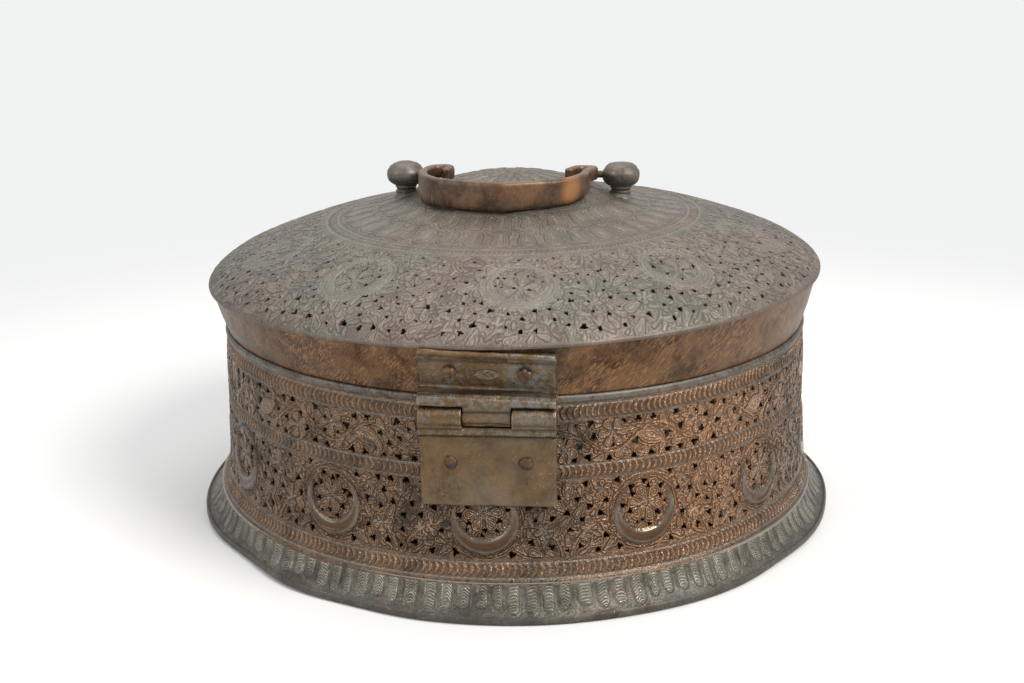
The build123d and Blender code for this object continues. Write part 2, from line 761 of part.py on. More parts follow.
bow_start = staple_face + staple_out - staple_half_height - staple_wire_radius
with BuildPart() as staple:
    with Locations(Location((0, bow_start, staple_height), (0, 90, 0))):
        Torus(staple_half_height, staple_wire_radius)
    with Locations((0, bow_start, staple_height)):
        bow_size = 3 * (staple_half_height + staple_wire_radius)
        Box(bow_size, bow_size, bow_size, align=(Align.CENTER, Align.MAX, Align.CENTER),
            mode=Mode.SUBTRACT)
    for h in (-staple_half_height, staple_half_height):
        add(rod(staple_wire_radius,
                (0, band_face(staple_height + h) - sheet - 0.8, staple_height + h),
                (0, bow_start, staple_height + h)))

with BuildPart() as staple_rosette:
    add(bar([
        (band_face(staple_height - staple_plate_half) - 2, staple_height - staple_plate_half),
        (band_face(staple_height - staple_plate_half) + staple_plate,
         staple_height - staple_plate_half),
        (band_face(staple_height + staple_plate_half) + staple_plate,
         staple_height + staple_plate_half),
        (band_face(staple_height + staple_plate_half) - 2, staple_height + staple_plate_half),
    ], 0.7 * staple_plate_half, 1))
    add(band_outside, mode=Mode.SUBTRACT)
    for tool in staple_holes:
        add(tool, mode=Mode.SUBTRACT)

# ---- tray ----------------------------------------------------------------------------

tray_floor = ledge_top + seat_gap
tray_top = tray_floor + tray_height
with BuildPart() as tray_pan:
    add(ring([
        (0, tray_floor),
        (tray_radius, tray_floor),
        (tray_radius, tray_top - tray_bead),
        (tray_radius + tray_bead_reach, tray_top - tray_bead),
        (tray_radius + tray_bead_reach, tray_top),
        (tray_radius - tray_sheet, tray_top),
        (tray_radius - tray_sheet, tray_floor + tray_sheet),
        (0, tray_floor + tray_sheet),
    ]))

with BuildPart() as tray_knob:
    with BuildSketch(Plane.XZ):
        with BuildLine():
            base = tray_floor + tray_sheet
            Polyline(
                (0, base + knob_height), (0, base), (knob_radius, base),
                (knob_radius, tray_top - 2), (0.75 * knob_radius, tray_top - 1),
                (0.45 * knob_radius, base + 0.68 * knob_height),
            )
            Spline(
                (0.45 * knob_radius, base + 0.68 * knob_height),
                (0.98 * knob_radius, base + 0.8 * knob_height),
                (0.9 * knob_radius, base + 0.91 * knob_height),
                (0, base + knob_height),
            )
        make_face()
    revolve(axis=Axis.Z)

with BuildPart() as tray_dividers:
    divider_length = tray_radius - tray_sheet - knob_radius
    with PolarLocations(knob_radius, 6, start_angle=30):
        with Locations((0.5 * divider_length, 0, tray_floor + tray_sheet)):
            Box(divider_length - 0.1, tray_divider, tray_height - tray_sheet - 2.5,
                align=(Align.CENTER, Align.CENTER, Align.MIN))

# ---- export --------------------------------------------------------------------------

case_wall.part.label = "case_wall"
mouth_bead.part.label = "mouth_bead"
lid_collar.part.label = "lid_collar"
tray_ledge.part.label = "tray_ledge"
bottom_plate.part.label = "bottom_plate"
foot_skirt.part.label = "foot_skirt"
foot_rim.part.label = "foot_rim"
hinge_lower_leaf.part.label = "hinge_lower_leaf"
hinge_lower_rivets.part.label = "hinge_lower_rivets"
hinge_pin.part.label = "hinge_pin"
hinge_upper_leaf.part.label = "hinge_upper_leaf"
hinge_upper_rivets.part.label = "hinge_upper_rivets"
lid_band.part.label = "lid_band"
lid_dome.part.label = "lid_dome"
handle_post_left.part.label = "handle_post_left"
handle_post_right.part.label = "handle_post_right"
post_washers.part.label = "post_washers"
handle_bail.part.label = "handle_bail"
hasp_fixed_leaf.part.label = "hasp_fixed_leaf"
hasp_rivets.part.label = "hasp_rivets"
hasp_pin.part.label = "hasp_pin"
hasp_strap.part.label = "hasp_strap"
staple.part.label = "staple"
staple_rosette.part.label = "staple_rosette"
tray_pan.part.label = "tray_pan"
tray_knob.part.label = "tray_knob"
tray_dividers.part.label = "tray_dividers"

os.makedirs("parts", exist_ok=True)
export_step(case_wall.part, "parts/case_wall.step")
export_step(mouth_bead.part, "parts/mouth_bead.step")
export_step(lid_collar.part, "parts/lid_collar.step")
export_step(tray_ledge.part, "parts/tray_ledge.step")
export_step(bottom_plate.part, "parts/bottom_plate.step")
export_step(foot_skirt.part, "parts/foot_skirt.step")
export_step(foot_rim.part, "parts/foot_rim.step")
export_step(hinge_lower_leaf.part, "parts/hinge_lower_leaf.step")
export_step(hinge_lower_rivets.part, "parts/hinge_lower_rivets.step")
export_step(hinge_pin.part, "parts/hinge_pin.step")
export_step(hinge_upper_leaf.part, "parts/hinge_upper_leaf.step")
export_step(hinge_upper_rivets.part, "parts/hinge_upper_rivets.step")
export_step(lid_band.part, "parts/lid_band.step")
export_step(lid_dome.part, "parts/lid_dome.step")
export_step(handle_post_left.part, "parts/handle_post_left.step")
export_step(handle_post_right.part, "parts/handle_post_right.step")
export_step(post_washers.part, "parts/post_washers.step")
export_step(handle_bail.part, "parts/handle_bail.step")
export_step(hasp_fixed_leaf.part, "parts/hasp_fixed_leaf.step")
export_step(hasp_rivets.part, "parts/hasp_rivets.step")
export_step(hasp_pin.part, "parts/hasp_pin.step")
export_step(hasp_strap.part, "parts/hasp_strap.step")
export_step(staple.part, "parts/staple.step")
export_step(staple_rosette.part, "parts/staple_rosette.step")
export_step(tray_pan.part, "parts/tray_pan.step")
export_step(tray_knob.part, "parts/tray_knob.step")
export_step(tray_dividers.part, "parts/tray_dividers.step")
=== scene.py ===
"""Round paan box of pierced and chased brass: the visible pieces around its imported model."""

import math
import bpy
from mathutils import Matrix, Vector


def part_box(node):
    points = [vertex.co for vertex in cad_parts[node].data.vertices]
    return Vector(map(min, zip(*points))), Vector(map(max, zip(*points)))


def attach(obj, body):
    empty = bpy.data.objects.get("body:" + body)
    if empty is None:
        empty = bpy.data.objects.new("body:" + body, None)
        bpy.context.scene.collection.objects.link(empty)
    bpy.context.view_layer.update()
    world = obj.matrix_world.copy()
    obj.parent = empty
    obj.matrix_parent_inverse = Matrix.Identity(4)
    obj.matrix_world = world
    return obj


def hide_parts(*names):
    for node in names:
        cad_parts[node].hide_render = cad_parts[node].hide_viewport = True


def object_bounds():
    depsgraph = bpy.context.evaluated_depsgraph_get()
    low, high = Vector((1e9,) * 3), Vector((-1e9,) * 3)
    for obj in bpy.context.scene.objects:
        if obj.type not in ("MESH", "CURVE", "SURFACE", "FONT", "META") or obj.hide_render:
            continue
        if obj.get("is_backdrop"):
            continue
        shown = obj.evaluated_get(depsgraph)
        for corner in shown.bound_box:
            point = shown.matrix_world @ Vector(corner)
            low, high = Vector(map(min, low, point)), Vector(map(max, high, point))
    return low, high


bl_info = {
    "name": "Pierced Paan Box",
    "version": (1, 0, 0),
    "blender": (4, 5, 0),
    "location": "View3D > Sidebar > Paan Box",
    "description": "Dresses a round brass paan box with pierced, chased and worn pieces",
    "category": "Object",
}

from functools import partial

import bpy
import numpy as np
from bpy.props import FloatProperty, FloatVectorProperty, IntProperty, PointerProperty
from mathutils import Matrix, Vector

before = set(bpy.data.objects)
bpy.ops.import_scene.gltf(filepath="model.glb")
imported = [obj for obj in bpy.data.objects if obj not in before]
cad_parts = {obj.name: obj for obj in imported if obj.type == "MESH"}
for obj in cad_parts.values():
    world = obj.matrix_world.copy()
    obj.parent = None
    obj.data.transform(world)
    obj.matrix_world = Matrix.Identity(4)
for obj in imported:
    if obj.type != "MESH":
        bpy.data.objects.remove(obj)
cad_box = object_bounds()

TAU = 2 * math.pi
MM = 0.001
FAR = 9.0  # a distance in millimetres that is out of reach of any motif
PLAIN_STROKE = 0.42  # how bright bare sheet is, between the dark and the crest of a stroke


def near(value, middle, width):
    """1 where value is at middle, falling smoothly to 0 on both sides."""
    return np.exp(-((value - middle) / width) ** 2)


def point(r, angle, x=0.0, y=0.0):
    """The point at distance r from another, in a direction."""
    return x + r * math.cos(angle), y + r * math.sin(angle)


def run_along(path):
    """The length along a path up to each of its points."""
    return np.concatenate([[0], np.cumsum(np.hypot(*np.diff(path, axis=0).T))])


# ---- sizes and colours that a user would change ----------------------------------------


def length(name, description, default):
    """A length in metres, from a default in millimetres."""
    return FloatProperty(name=name, description=description, default=default * MM,
                         min=0.0, unit="LENGTH")


def share(name, description, default):
    return FloatProperty(name=name, description=description, default=default, min=0.0,
                         max=1.0, subtype="FACTOR")


def colour(name, description, default):
    return FloatVectorProperty(name=name, description=description, default=default, size=3,
                               min=0.0, max=1.0, subtype="COLOR")


class PaanBoxSizes(bpy.types.PropertyGroup):
    sheet: length("Sheet", "Thickness of the pierced wall and lid", 1.4)
    wall_relief: length("Wall Relief", "Height of the leaves on the wall", 0.48)
    lid_relief: length("Lid Relief", "Height of the leaves on the lid", 0.20)
    chasing: length("Chasing", "Depth of the chased lines", 0.18)
    moon: length("Moon", "Height of the smooth crescents on the wall", 1.3)
    cell: length("Grid", "Spacing of the points of a worked sheet", 0.52)
    lid_tilt: length("Lid Tilt", "How much higher the lid lies at its right edge", 2.4)
    bevel: length("Edge Round", "Rounding of the edges of the hasp and the hinge's pins", 0.3)
    dent: length("Foot Dent", "How far the flange is pushed in at its front left", 3.4)
    wall_moons: IntProperty(name="Wall Moons", description="Crescents around the wall",
                            default=13, min=4, max=24)
    lid_moons: IntProperty(name="Lid Moons", description="Crescents around the lid",
                           default=10, min=4, max=24)


class PaanBoxColours(bpy.types.PropertyGroup):
    case: colour("Case", "Copper brown of the wall", (0.038, 0.0215, 0.0125))
    # this colour is also the painted highlight inside the wall's sheen spot
    case_worn_and_sheen: colour("Case Worn", "Rubbed edges of the wall's leaves", (0.29, 0.168, 0.096))
    lid: colour("Lid", "Grey brown of the lid", (0.112, 0.08, 0.066))
    lid_worn: colour("Lid Worn", "Rubbed leaves and rim of the lid", (0.255, 0.205, 0.165))
    foot: colour("Foot", "Green grey of the foot", (0.052, 0.035, 0.025))
    foot_worn: colour("Foot Worn", "Rubbed marks on the foot", (0.29, 0.27, 0.215))
    band: colour("Band", "Orange brown of the lid's band", (0.036, 0.0135, 0.0036))
    band_worn: colour("Band Worn", "Scratches on the band", (0.37, 0.19, 0.078))
    hinge: colour("Hinge", "Olive brown of the hinge and hasp", (0.088, 0.05, 0.016))
    hinge_worn: colour("Hinge Worn", "Worn edges of the hinge and hasp", (0.3, 0.18, 0.09))
    rivet: colour("Rivet", "Dark red brown of the rivet heads", (0.045, 0.024, 0.018))
    bail: colour("Bail", "Dark brown of the bail", (0.036, 0.0205, 0.011))
    # this colour is also the painted highlight inside the bail's sheen spot
    bail_worn_and_sheen: colour("Bail Worn", "Metal that hands have polished", (0.46, 0.21, 0.085))
    post: colour("Post", "Grey brown of the turned posts", (0.07, 0.056, 0.042))
    moon: colour("Moon", "Bare metal of the smooth crescents", (0.07, 0.034, 0.014))
    film: colour("Film", "Grey green film of age", (0.165, 0.16, 0.138))
    lid_film: colour("Lid Film", "Green film on the lid", (0.098, 0.108, 0.084))
    foot_film: colour("Foot Film", "Dark green film on the foot", (0.058, 0.063, 0.052))
    # painted highlight: this copper is laid over the sheen spots on the wall's right front and on the
    # bail, where the key light falls; partly it is metal worn bare by hands
    rubbed_and_sheen: colour("Rubbed", "Copper laid bare where hands have rubbed", (0.62, 0.3, 0.12))
    dust: colour("Dust", "Pale dust in the hollows", (0.34, 0.325, 0.285))
    # also the colour of the painted shadow lines on the hinge leaves
    dark: colour("Dark", "Old dirt in the hollows", (0.018, 0.013, 0.010))
    iron: colour("Iron", "Hinge pins", (0.05, 0.042, 0.036))
    tin: colour("Tin", "Tinned inside and tray", (0.36, 0.32, 0.26))
    floor: colour("Floor", "Floor and backdrop", (0.80, 0.79, 0.77))


# ---- worked sheet: distances to leaves, moons, chased lines and piercings -------------

class Sheet:
    """A worked sheet as a grid: columns go round, rows go up the wall or out over the lid.

    It keeps, in millimetres, how far each grid point is from raised work, smooth raised moons,
    chased lines and piercings.
    """

    def __init__(self, columns, rows, radius=None, seed=1):
        self.n = columns
        self.rows = np.asarray(rows, float)
        self.angle = np.arange(columns) * TAU / columns
        self.radius = radius
        self.rng = np.random.default_rng(seed)
        shape = (len(self.rows), columns)
        if radius:
            self.x = np.broadcast_to(self.angle * radius, shape).copy()
            self.y = np.broadcast_to(self.rows[:, None], shape).copy()
        else:
            self.x = self.rows[:, None] * np.cos(self.angle)
            self.y = self.rows[:, None] * np.sin(self.angle)
        self.raised, self.moon, self.line, self.hole = (np.full(shape, FAR) for _ in range(4))
        self.plain = np.zeros(shape, bool)
        self.chevron = None
        self.stroke = np.full(shape, PLAIN_STROKE)
        self.hole_x, self.hole_y = np.zeros((2, *shape))

    def window(self, cx, cy, reach):
        """The grid points within reach of a point, as an index, and the offsets to them."""
        if self.radius:
            step = self.radius * TAU / self.n
            rows = np.nonzero(np.abs(self.rows - cy) <= reach)[0]
            cols = np.arange(math.floor((cx - reach) / step), math.ceil((cx + reach) / step) + 1)
            dx = cols * step - cx
            cols = cols % self.n
            dx, dy = np.meshgrid(dx, self.rows[rows] - cy)
            return np.ix_(rows, cols), dx, dy
        far = math.hypot(cx, cy)
        rows = np.nonzero(np.abs(self.rows - far) <= reach)[0]
        if far <= reach * 1.2:
            cols = np.arange(self.n)
        else:
            middle = math.atan2(cy, cx) / TAU * self.n
            half = math.asin(reach / far) / TAU * self.n + 1
            cols = np.arange(math.floor(middle - half), math.ceil(middle + half) + 1) % self.n
        pick = np.ix_(rows, cols)
        return pick, self.x[pick] - cx, self.y[pick] - cy

    def paint(self, cx, cy, turn, reach, shape, *sizes):
        """Adds one motif; shape returns the names of the fields and its distances to them."""
        pick, dx, dy = self.window(cx, cy, reach)
        if not dx.size:
            return
        along = dx * math.cos(turn) + dy * math.sin(turn)
        beside = dy * math.cos(turn) - dx * math.sin(turn)
        for name, value in shape(along, beside, *sizes).items():
            field = getattr(self, name)
            field[pick] = np.minimum(field[pick], value)

    def nearest(self, x, y):
        """Row and column of the grid point nearest to a point."""
        turn = x / self.radius if self.radius else math.atan2(y, x)
        away = y if self.radius else math.hypot(x, y)
        return int(np.argmin(np.abs(self.rows - away))), int(round(turn / TAU * self.n)) % self.n

    def clear(self, x, y):
        """Distance from a point to the nearest raised work, moon or piercing."""
        spot = self.nearest(x, y)
        return min(self.raised[spot], self.moon[spot], self.hole[spot] - 0.35)

    def pierce(self, cx, cy, turn, size):
        """Three-cornered piercing; size is from its middle to a side."""
        pick, dx, dy = self.window(cx, cy, 2.6 * size + 1)
        if not dx.size:
            return
        best = np.full(dx.shape, -FAR)
        nx, ny = np.zeros((2, *dx.shape))
        for k in range(3):
            a = turn + k * TAU / 3 + self.rng.uniform(-0.15, 0.15)
            side = dx * math.cos(a) + dy * math.sin(a) - size * self.rng.uniform(0.85, 1.15)
            more = side > best
            best = np.where(more, side, best)
            nx = np.where(more, math.cos(a), nx)
            ny = np.where(more, math.sin(a), ny)
        nearer = best < self.hole[pick]
        for field, found in ((self.hole, best), (self.hole_x, nx), (self.hole_y, ny)):
            field[pick] = np.where(nearer, found, field[pick])

    def pierce_ground(self, spots, small, large, apart, anywhere=False):
        """Piercings in the ground between the motifs, the roomiest spots first."""
        room = np.array([self.clear(x, y) for x, y in spots])
        order = np.argsort(-np.round(room + self.rng.normal(0, 0.15, len(room)), 1))
        taken = np.zeros((0, 2))
        loop = TAU * self.radius if self.radius else math.inf
        for i in order:
            if room[i] < small * 0.9 and not anywhere:
                continue
            x, y = spots[i]
            size = min(large, max(small, room[i] * self.rng.uniform(0.6, 0.95)))
            if anywhere:
                size = self.rng.uniform(small, large)
                if self.moon[self.nearest(x, y)] < size + 0.3:
                    continue
            if len(taken):
                dx = np.abs(taken[:, 0] - x)
                dx = np.minimum(dx, loop - dx)
                if np.min(np.hypot(dx, taken[:, 1] - y)) < apart + size:
                    continue
            taken = np.vstack([taken, [x, y]])
            self.pierce(x, y, self.rng.uniform(0, TAU), size)

    def fill_ground(self, spots, least, most):
        """Small lobed leaves in the wider bare places, the widest first."""
        room = np.array([self.clear(x, y) for x, y in spots])
        for i in np.argsort(-room):
            x, y = spots[i]
            if room[i] < least:
                break
            free = self.clear(x, y)
            if free < least:
                continue
            long = min(most, 2.1 * free)
            turn = self.rng.uniform(0, TAU)
            self.paint(*point(-0.45 * long, turn, x, y), turn, long + 1.5, lobe, 0.7 * long,
                       0.12 * long, 0.30 * long)


def disc(a, b, r):
    return {"raised": np.hypot(a, b) - r}


def ring(a, b, r, half):
    d = np.hypot(a, b)
    return {"raised": np.abs(d - r) - half}


def groove_ring(a, b, r):
    return {"line": np.abs(np.hypot(a, b) - r)}


def dash(a, b, length, half):
    """A short straight stroke that starts at the origin."""
    return {"raised": np.hypot(a - np.clip(a, 0, length), b) - half}


def lobe(a, b, length, base, tip):
    """A rounded leaf from a narrow base to a wide tip, with a rib along it."""
    side = np.abs(b)
    slope = (base - tip) / length
    slant = math.sqrt(1 - slope * slope)
    where = slant * a - slope * side
    d = np.where(where < 0, np.hypot(a, b) - base,
                 np.where(where > slant * length, np.hypot(a - length, b) - tip,
                          slant * side + slope * a - base))
    rib = np.where((d < -0.45) & (a > 0) & (a < length), side, 9.0)
    return {"raised": d, "line": rib}


def leaf(a, b, length, half, bend):
    """A pointed leaf that bends to one side, with a rib along it."""
    t = np.clip(a / length, 0, 1)
    middle = bend * length * 4 * t * (1 - t)
    width = half * np.sin(math.pi * t ** 0.8) ** 0.9
    beside = np.abs(b - middle)
    d = np.where((a > 0) & (a < length), (beside - width) * 0.85,
                 np.hypot(np.abs(a - t * length), beside))
    return {"raised": d, "line": np.where((d < -0.4) & (t < 0.9), beside, 9.0)}


def moon(a, b, r, inner, lift):
    """Crescent, thickest at -b, around a disc of radius inner whose middle is lifted."""
    return {"moon": np.maximum(np.hypot(a, b) - r, inner - np.hypot(a, b - lift))}


def crescent(a, b, r, inner, lift):
    """A moon drawn with lines that follow its edges."""
    d = moon(a, b, r, inner, lift)["moon"]
    return {"moon": d, "line": np.minimum(np.abs(d + 0.1), np.abs(d + 1.5) + 0.15)}


def leaflet(sheet, x, y, turn, long):
    """A lobed leaf of a spray."""
    sheet.paint(x, y, turn, long + 1.5, lobe, 0.72 * long, 0.1 * long, 0.27 * long)


def spray(sheet, x, y, heading, length, curl, size, flower=0.0):
    """A curling stem with leaves to both sides and a leaf or flower at its end."""
    step = 1.2
    count = max(2, int(length / step))
    side = 1
    gap = 0.0
    for i in range(count):
        sheet.paint(x, y, heading, step + 2.2, dash, step, 0.42 + 0.35 * (1 - i / count))
        x, y = point(step, heading, x, y)
        heading += curl * step * (1 + 0.9 * i / count)
        gap += step
        if i / count >= 0.25 and gap > 0.72 * size and i < count - 1:
            gap = 0.0
            side = -side
            long = size * sheet.rng.uniform(0.75, 1.1)
            leaflet(sheet, x, y, heading + side * sheet.rng.uniform(0.75, 1.15), long)
    if flower:
        blossom(sheet, *point(flower * 0.8, heading, x, y), flower, heading,
                sheet.rng.choice([5, 6, 7]))
    else:
        for turn, share_of in ((-0.85, 0.8), (0, 1.1), (0.85, 0.8)):
            leaflet(sheet, x, y, heading + turn, size * share_of)


def blossom(sheet, x, y, r, turn, petals):
    """A flower of rounded petals around a small button."""
    tip = min(0.30, 0.8 * math.pi / petals * 0.72)
    for k in range(petals):
        a = turn + k * TAU / petals
        sheet.paint(*point(0.22 * r, a, x, y), a, r + 1, lobe, (0.78 - tip) * r, 0.07 * r, tip * r)
    sheet.paint(x, y, 0, r, disc, 0.17 * r)
    sheet.paint(x, y, 0, r, groove_ring, 0.21 * r)


def pierced_blossom(sheet, x, y, r, out, facing, size):
    """The six-petalled flower inside a moon, with a piercing between each two petals."""
    turn = sheet.rng.uniform(0, 1)
    blossom(sheet, x, y, r, turn, 6)
    for k in range(6):
        a = turn + (k + 0.5) * TAU / 6
        sheet.pierce(*point(out, a, x, y), a + facing, size)


def scatter(sheet, low, high, pitch):
    """Spots over a whole sheet between two rows, about one pitch apart."""
    spots = []
    for v in np.arange(low, high, pitch * 0.9):
        around = TAU * (sheet.radius or v)
        for u in np.arange(0, around - pitch / 2, pitch):
            du, dv = sheet.rng.uniform(-0.4, 0.4, 2) * pitch
            if sheet.radius:
                spots.append((u + du, v + dv))
            else:
                spots.append(point(v + dv, (u + du) / v))
    return spots


def lower_frieze(sheet, low, high, count, start):
    """Ringed moons with a flower each, and a branching stem with flowers between them."""
    middle = 0.5 * (low + high)
    step = TAU * sheet.radius / count
    rng = sheet.rng
    for k in range(count):
        x = start + k * step + rng.uniform(-0.8, 0.8)
        y = middle + rng.uniform(-0.15, 0.15)
        tilt = rng.uniform(-0.12, 0.12)
        sheet.paint(x, y, tilt, 17, ring, 14.0, 0.45)
        sheet.paint(x, y - 0.6, tilt, 16, moon, 12.6, 10.1, 3.4)
        cx = x - 3.2 * math.sin(tilt)
        cy = y - 0.6 + 3.2 * math.cos(tilt)
        pierced_blossom(sheet, cx, cy, 7.6, 6.6, math.pi, 0.8)
        g = start + (k + 0.5) * step
        lean = rng.uniform(-1.2, 1.2)
        for side in (-1, 1):
            spray(sheet, g + side * 1.5 + lean, low + 0.6, math.pi / 2 - side * 0.25, 22,
                  -side * 0.055, 5.2 * rng.uniform(0.9, 1.1), 5.0 * rng.uniform(0.85, 1.1))
            spray(sheet, g + side * 5 + lean, low + 0.8, math.pi / 2 - side * 1.15, 9,
                  side * 0.13, 5.0, 3.6)
            blossom(sheet, g + side * 13.6, high - 4.2, 3.6, rng.uniform(0, 1), 5)
            sheet.paint(g + side * 14.5, low + 1.2, math.pi / 2 - side * 0.8, 8, lobe,
                        4.6, 0.6, 1.6)
        sheet.paint(g + lean, high - 0.7, -math.pi / 2 + lean * 0.1, 9, leaf, 7.5, 2.4, 0.04)
    spots = scatter(sheet, low + 1.5, high - 1.5, 1.0)
    sheet.pierce_ground(spots, 0.60, 0.95, 4.4)
    sheet.fill_ground(spots, 0.95, 6.0)


def upper_frieze(sheet, low, high, waves):
    """A running stem with a big leaf or a flower in each bay."""
    middle = 0.5 * (low + high)
    swing = 0.28 * (high - low)
    around = TAU * sheet.radius
    rng = sheet.rng
    steps = int(around / 1.1)
    height = lambda s: middle + swing * math.sin(TAU * waves * s / around)
    for i in range(steps):
        s = i * around / steps
        e = (i + 1) * around / steps
        turn = math.atan2(height(e) - height(s), e - s)
        sheet.paint(s, height(s), turn, 3.2, dash, e - s, 0.5)
    bay = around / waves / 2
    for k in range(2 * waves):
        s = (k + 0.5) * bay
        up = 1 if k % 2 == 0 else -1
        if k % 3:
            blossom(sheet, s + rng.uniform(-0.8, 0.8), middle - up * 2.6,
                    5.4 * rng.uniform(0.9, 1.1), rng.uniform(0, 1), rng.choice([5, 6]))
        else:
            x = s - 0.42 * bay
            sheet.paint(x, height(x), -up * 0.35, 15, leaf, 13.0, 3.4, up * 0.05)
        sheet.paint(s + 0.30 * bay, height(s + 0.3 * bay), up * 2.2, 8, lobe, 4.0, 0.5, 1.5)
        sheet.paint(s + 0.1 * bay, low if up > 0 else high, up * 1.2, 7, lobe, 3.8, 0.5, 1.4)
    spots = scatter(sheet, low + 1.1, high - 1.1, 1.0)
    sheet.pierce_ground(spots, 0.60, 1.0, 4.2)
    sheet.fill_ground(spots, 0.95, 6.5)


def punched_border(sheet, low, high, count, lean=1.0):
    """A row of curved punch strokes, like a plait, between two lines."""
    span = sheet.radius or 0.5 * (low + high)
    u = np.broadcast_to(sheet.angle * span, sheet.x.shape)
    v = sheet.y if sheet.radius else np.hypot(sheet.x, sheet.y)
    t = (v - low - 0.3) / (high - low - 0.6)
    bulge = 1.5 * (1 - (2 * t - 1) ** 2) * lean + 0.5 * np.sin(sheet.angle * 23 + 1)
    pitch = TAU * span / count
    stroke = (0.1 - np.cos((u - bulge) / pitch * TAU)) * 0.55 * pitch
    sheet.plain |= (t > -0.15) & (t < 1.1)
    inside = (t > 0) & (t < 1)
    sheet.raised = np.where(inside, np.minimum(sheet.raised, stroke), sheet.raised)
    fade = np.clip(4 * t, 0, 1) * np.clip(4 - 4 * t, 0, 1)
    crest = (0.5 + 0.5 * np.cos((u - bulge) / pitch * TAU)) ** 2 * fade
    sheet.stroke = np.where(inside, crest, sheet.stroke)
    sheet.stroke = np.where(t <= -0.1, 0.0, sheet.stroke)
    for at in (low, high):
        sheet.line = np.minimum(sheet.line, np.abs(v - at))


def relief(sheet, depth, chase, moon_height):
    """Height of the worked surface in millimetres."""
    e = np.clip(0.25 - sheet.raised / 1.1, 0, 1)
    h = depth * np.sqrt(e * (2 - e))
    m = np.clip(-sheet.moon / 1.5, 0, 1)
    dish = moon_height * (np.sqrt(m * (2 - m)) - 0.35 * np.clip((-sheet.moon - 1.5) / 1.5, 0, 1))
    h = np.maximum(h, dish * (sheet.moon < 0))
    edge = np.minimum(np.abs(sheet.raised - 0.25), np.abs(sheet.moon - 0.3))
    return h - chase * near(edge, 0, 0.35) - chase * near(sheet.line, 0, 0.3)


def lid_field(sheet, low, high, count, start):
    """Moons in rings with sprays between them, in low relief, and piercings that grow outwards."""
    middle = 101.5
    for k in range(count):
        a = start + k * TAU / count + sheet.rng.uniform(-0.01, 0.01)
        x, y = point(middle, a)
        sheet.paint(x, y, 0, 17, groove_ring, 14.3)
        sheet.paint(x, y, a + math.pi / 2, 16, crescent, 13.1, 10.2, 1.9)
        pierced_blossom(sheet, *point(2.2, a, x, y), 8.2, 6.9, 0.0, 0.42)
        g = a + math.pi / count
        for side in (-1, 1):
            spray(sheet, *point(low + 2, g + side * 0.03), g + side * 0.15, 26, side * 0.07, 5.6, 5.0)
            spray(sheet, *point(high - 2, g + side * 0.06), g + math.pi - side * 1.15, 14,
                  side * 0.10, 5.2, 4.0)
            spray(sheet, *point(high - 1.5, a + side * 0.10), a + math.pi + side * 1.1, 7,
                  -side * 0.12, 4.4)
    for inner, outer, small, large, apart in (
        (low + 2, low + 14, 0.42, 0.58, 5.8), (low + 14, low + 30, 0.46, 0.70, 5.0),
        (low + 30, high - 2.4, 0.55, 0.95, 4.4),
    ):
        sheet.pierce_ground(scatter(sheet, inner, outer, 1.2), small, large, apart, anywhere=True)
    sheet.fill_ground(scatter(sheet, low + 1.5, high - 0.8, 1.3), 1.0, 7.5)


def petal_ring(sheet, low, high, count, turn=0.0):
    """Upright oval petals with buds between their tips."""
    wide = TAU * 0.5 * (low + high) / count
    base, tip = 0.27 * wide, 0.36 * wide
    for k in range(count):
        a = turn + k * TAU / count
        start = low + base + 0.3
        sheet.paint(*point(start, a), a, high - low + 3, lobe, high - low - base - tip - 0.6,
                    base, tip)
        b = a + math.pi / count
        for at, size in ((high - 1.3, 0.9), (low + 1.6, 1.0)):
            sheet.paint(*point(at, b), b, 4, disc, size)


def lid_heart(sheet, low, high):
    """The middle of the lid: a many-petalled flower inside a plain ring."""
    sheet.paint(0, 0, 0, high + 2, ring, high - 1.0, 0.4)
    for inner, long, number, tip in ((low, 7.0, 9, 1.9), (13, 8.0, 16, 2.1), (26, 10.0, 26, 2.6)):
        for k in range(number):
            a = (k + 0.3 * number % 1) * TAU / number
            sheet.paint(*point(inner, a), a, long + 5, lobe, long, 0.8, tip)
    sheet.pierce_ground(scatter(sheet, 12, high - 4, 1.2), 0.30, 0.42, 6.0)


def tongues(sheet, low, high, count):
    """A fringe of tongues with nested chevrons, pointing outwards."""
    pitch = TAU * sheet.radius / count
    waver = 0.9 * np.sin(sheet.x * 0.09) + 0.5 * np.sin(sheet.x * 0.31 + 1)
    u = (sheet.x + waver) % pitch - 0.5 * pitch
    half = 0.36 * pitch
    tip = high + 1.1 * np.sin(sheet.x * 0.17) + 0.6 * np.sin(sheet.x * 0.41)
    down = sheet.y - (tip - half)
    d = np.where(down > 0, np.hypot(u, down * 0.8), np.abs(u)) - half
    sheet.raised = np.where(sheet.y > low, np.minimum(sheet.raised, d), sheet.raised)
    sheet.stroke[:] = 0.0
    nested = sheet.y - 0.42 * u ** 2 + 0.3 * np.sin(sheet.x * 1.9)
    sheet.chevron = np.where(d < -0.3, nested, np.nan)


# ---- meshes --------------------------------------------------------------------------


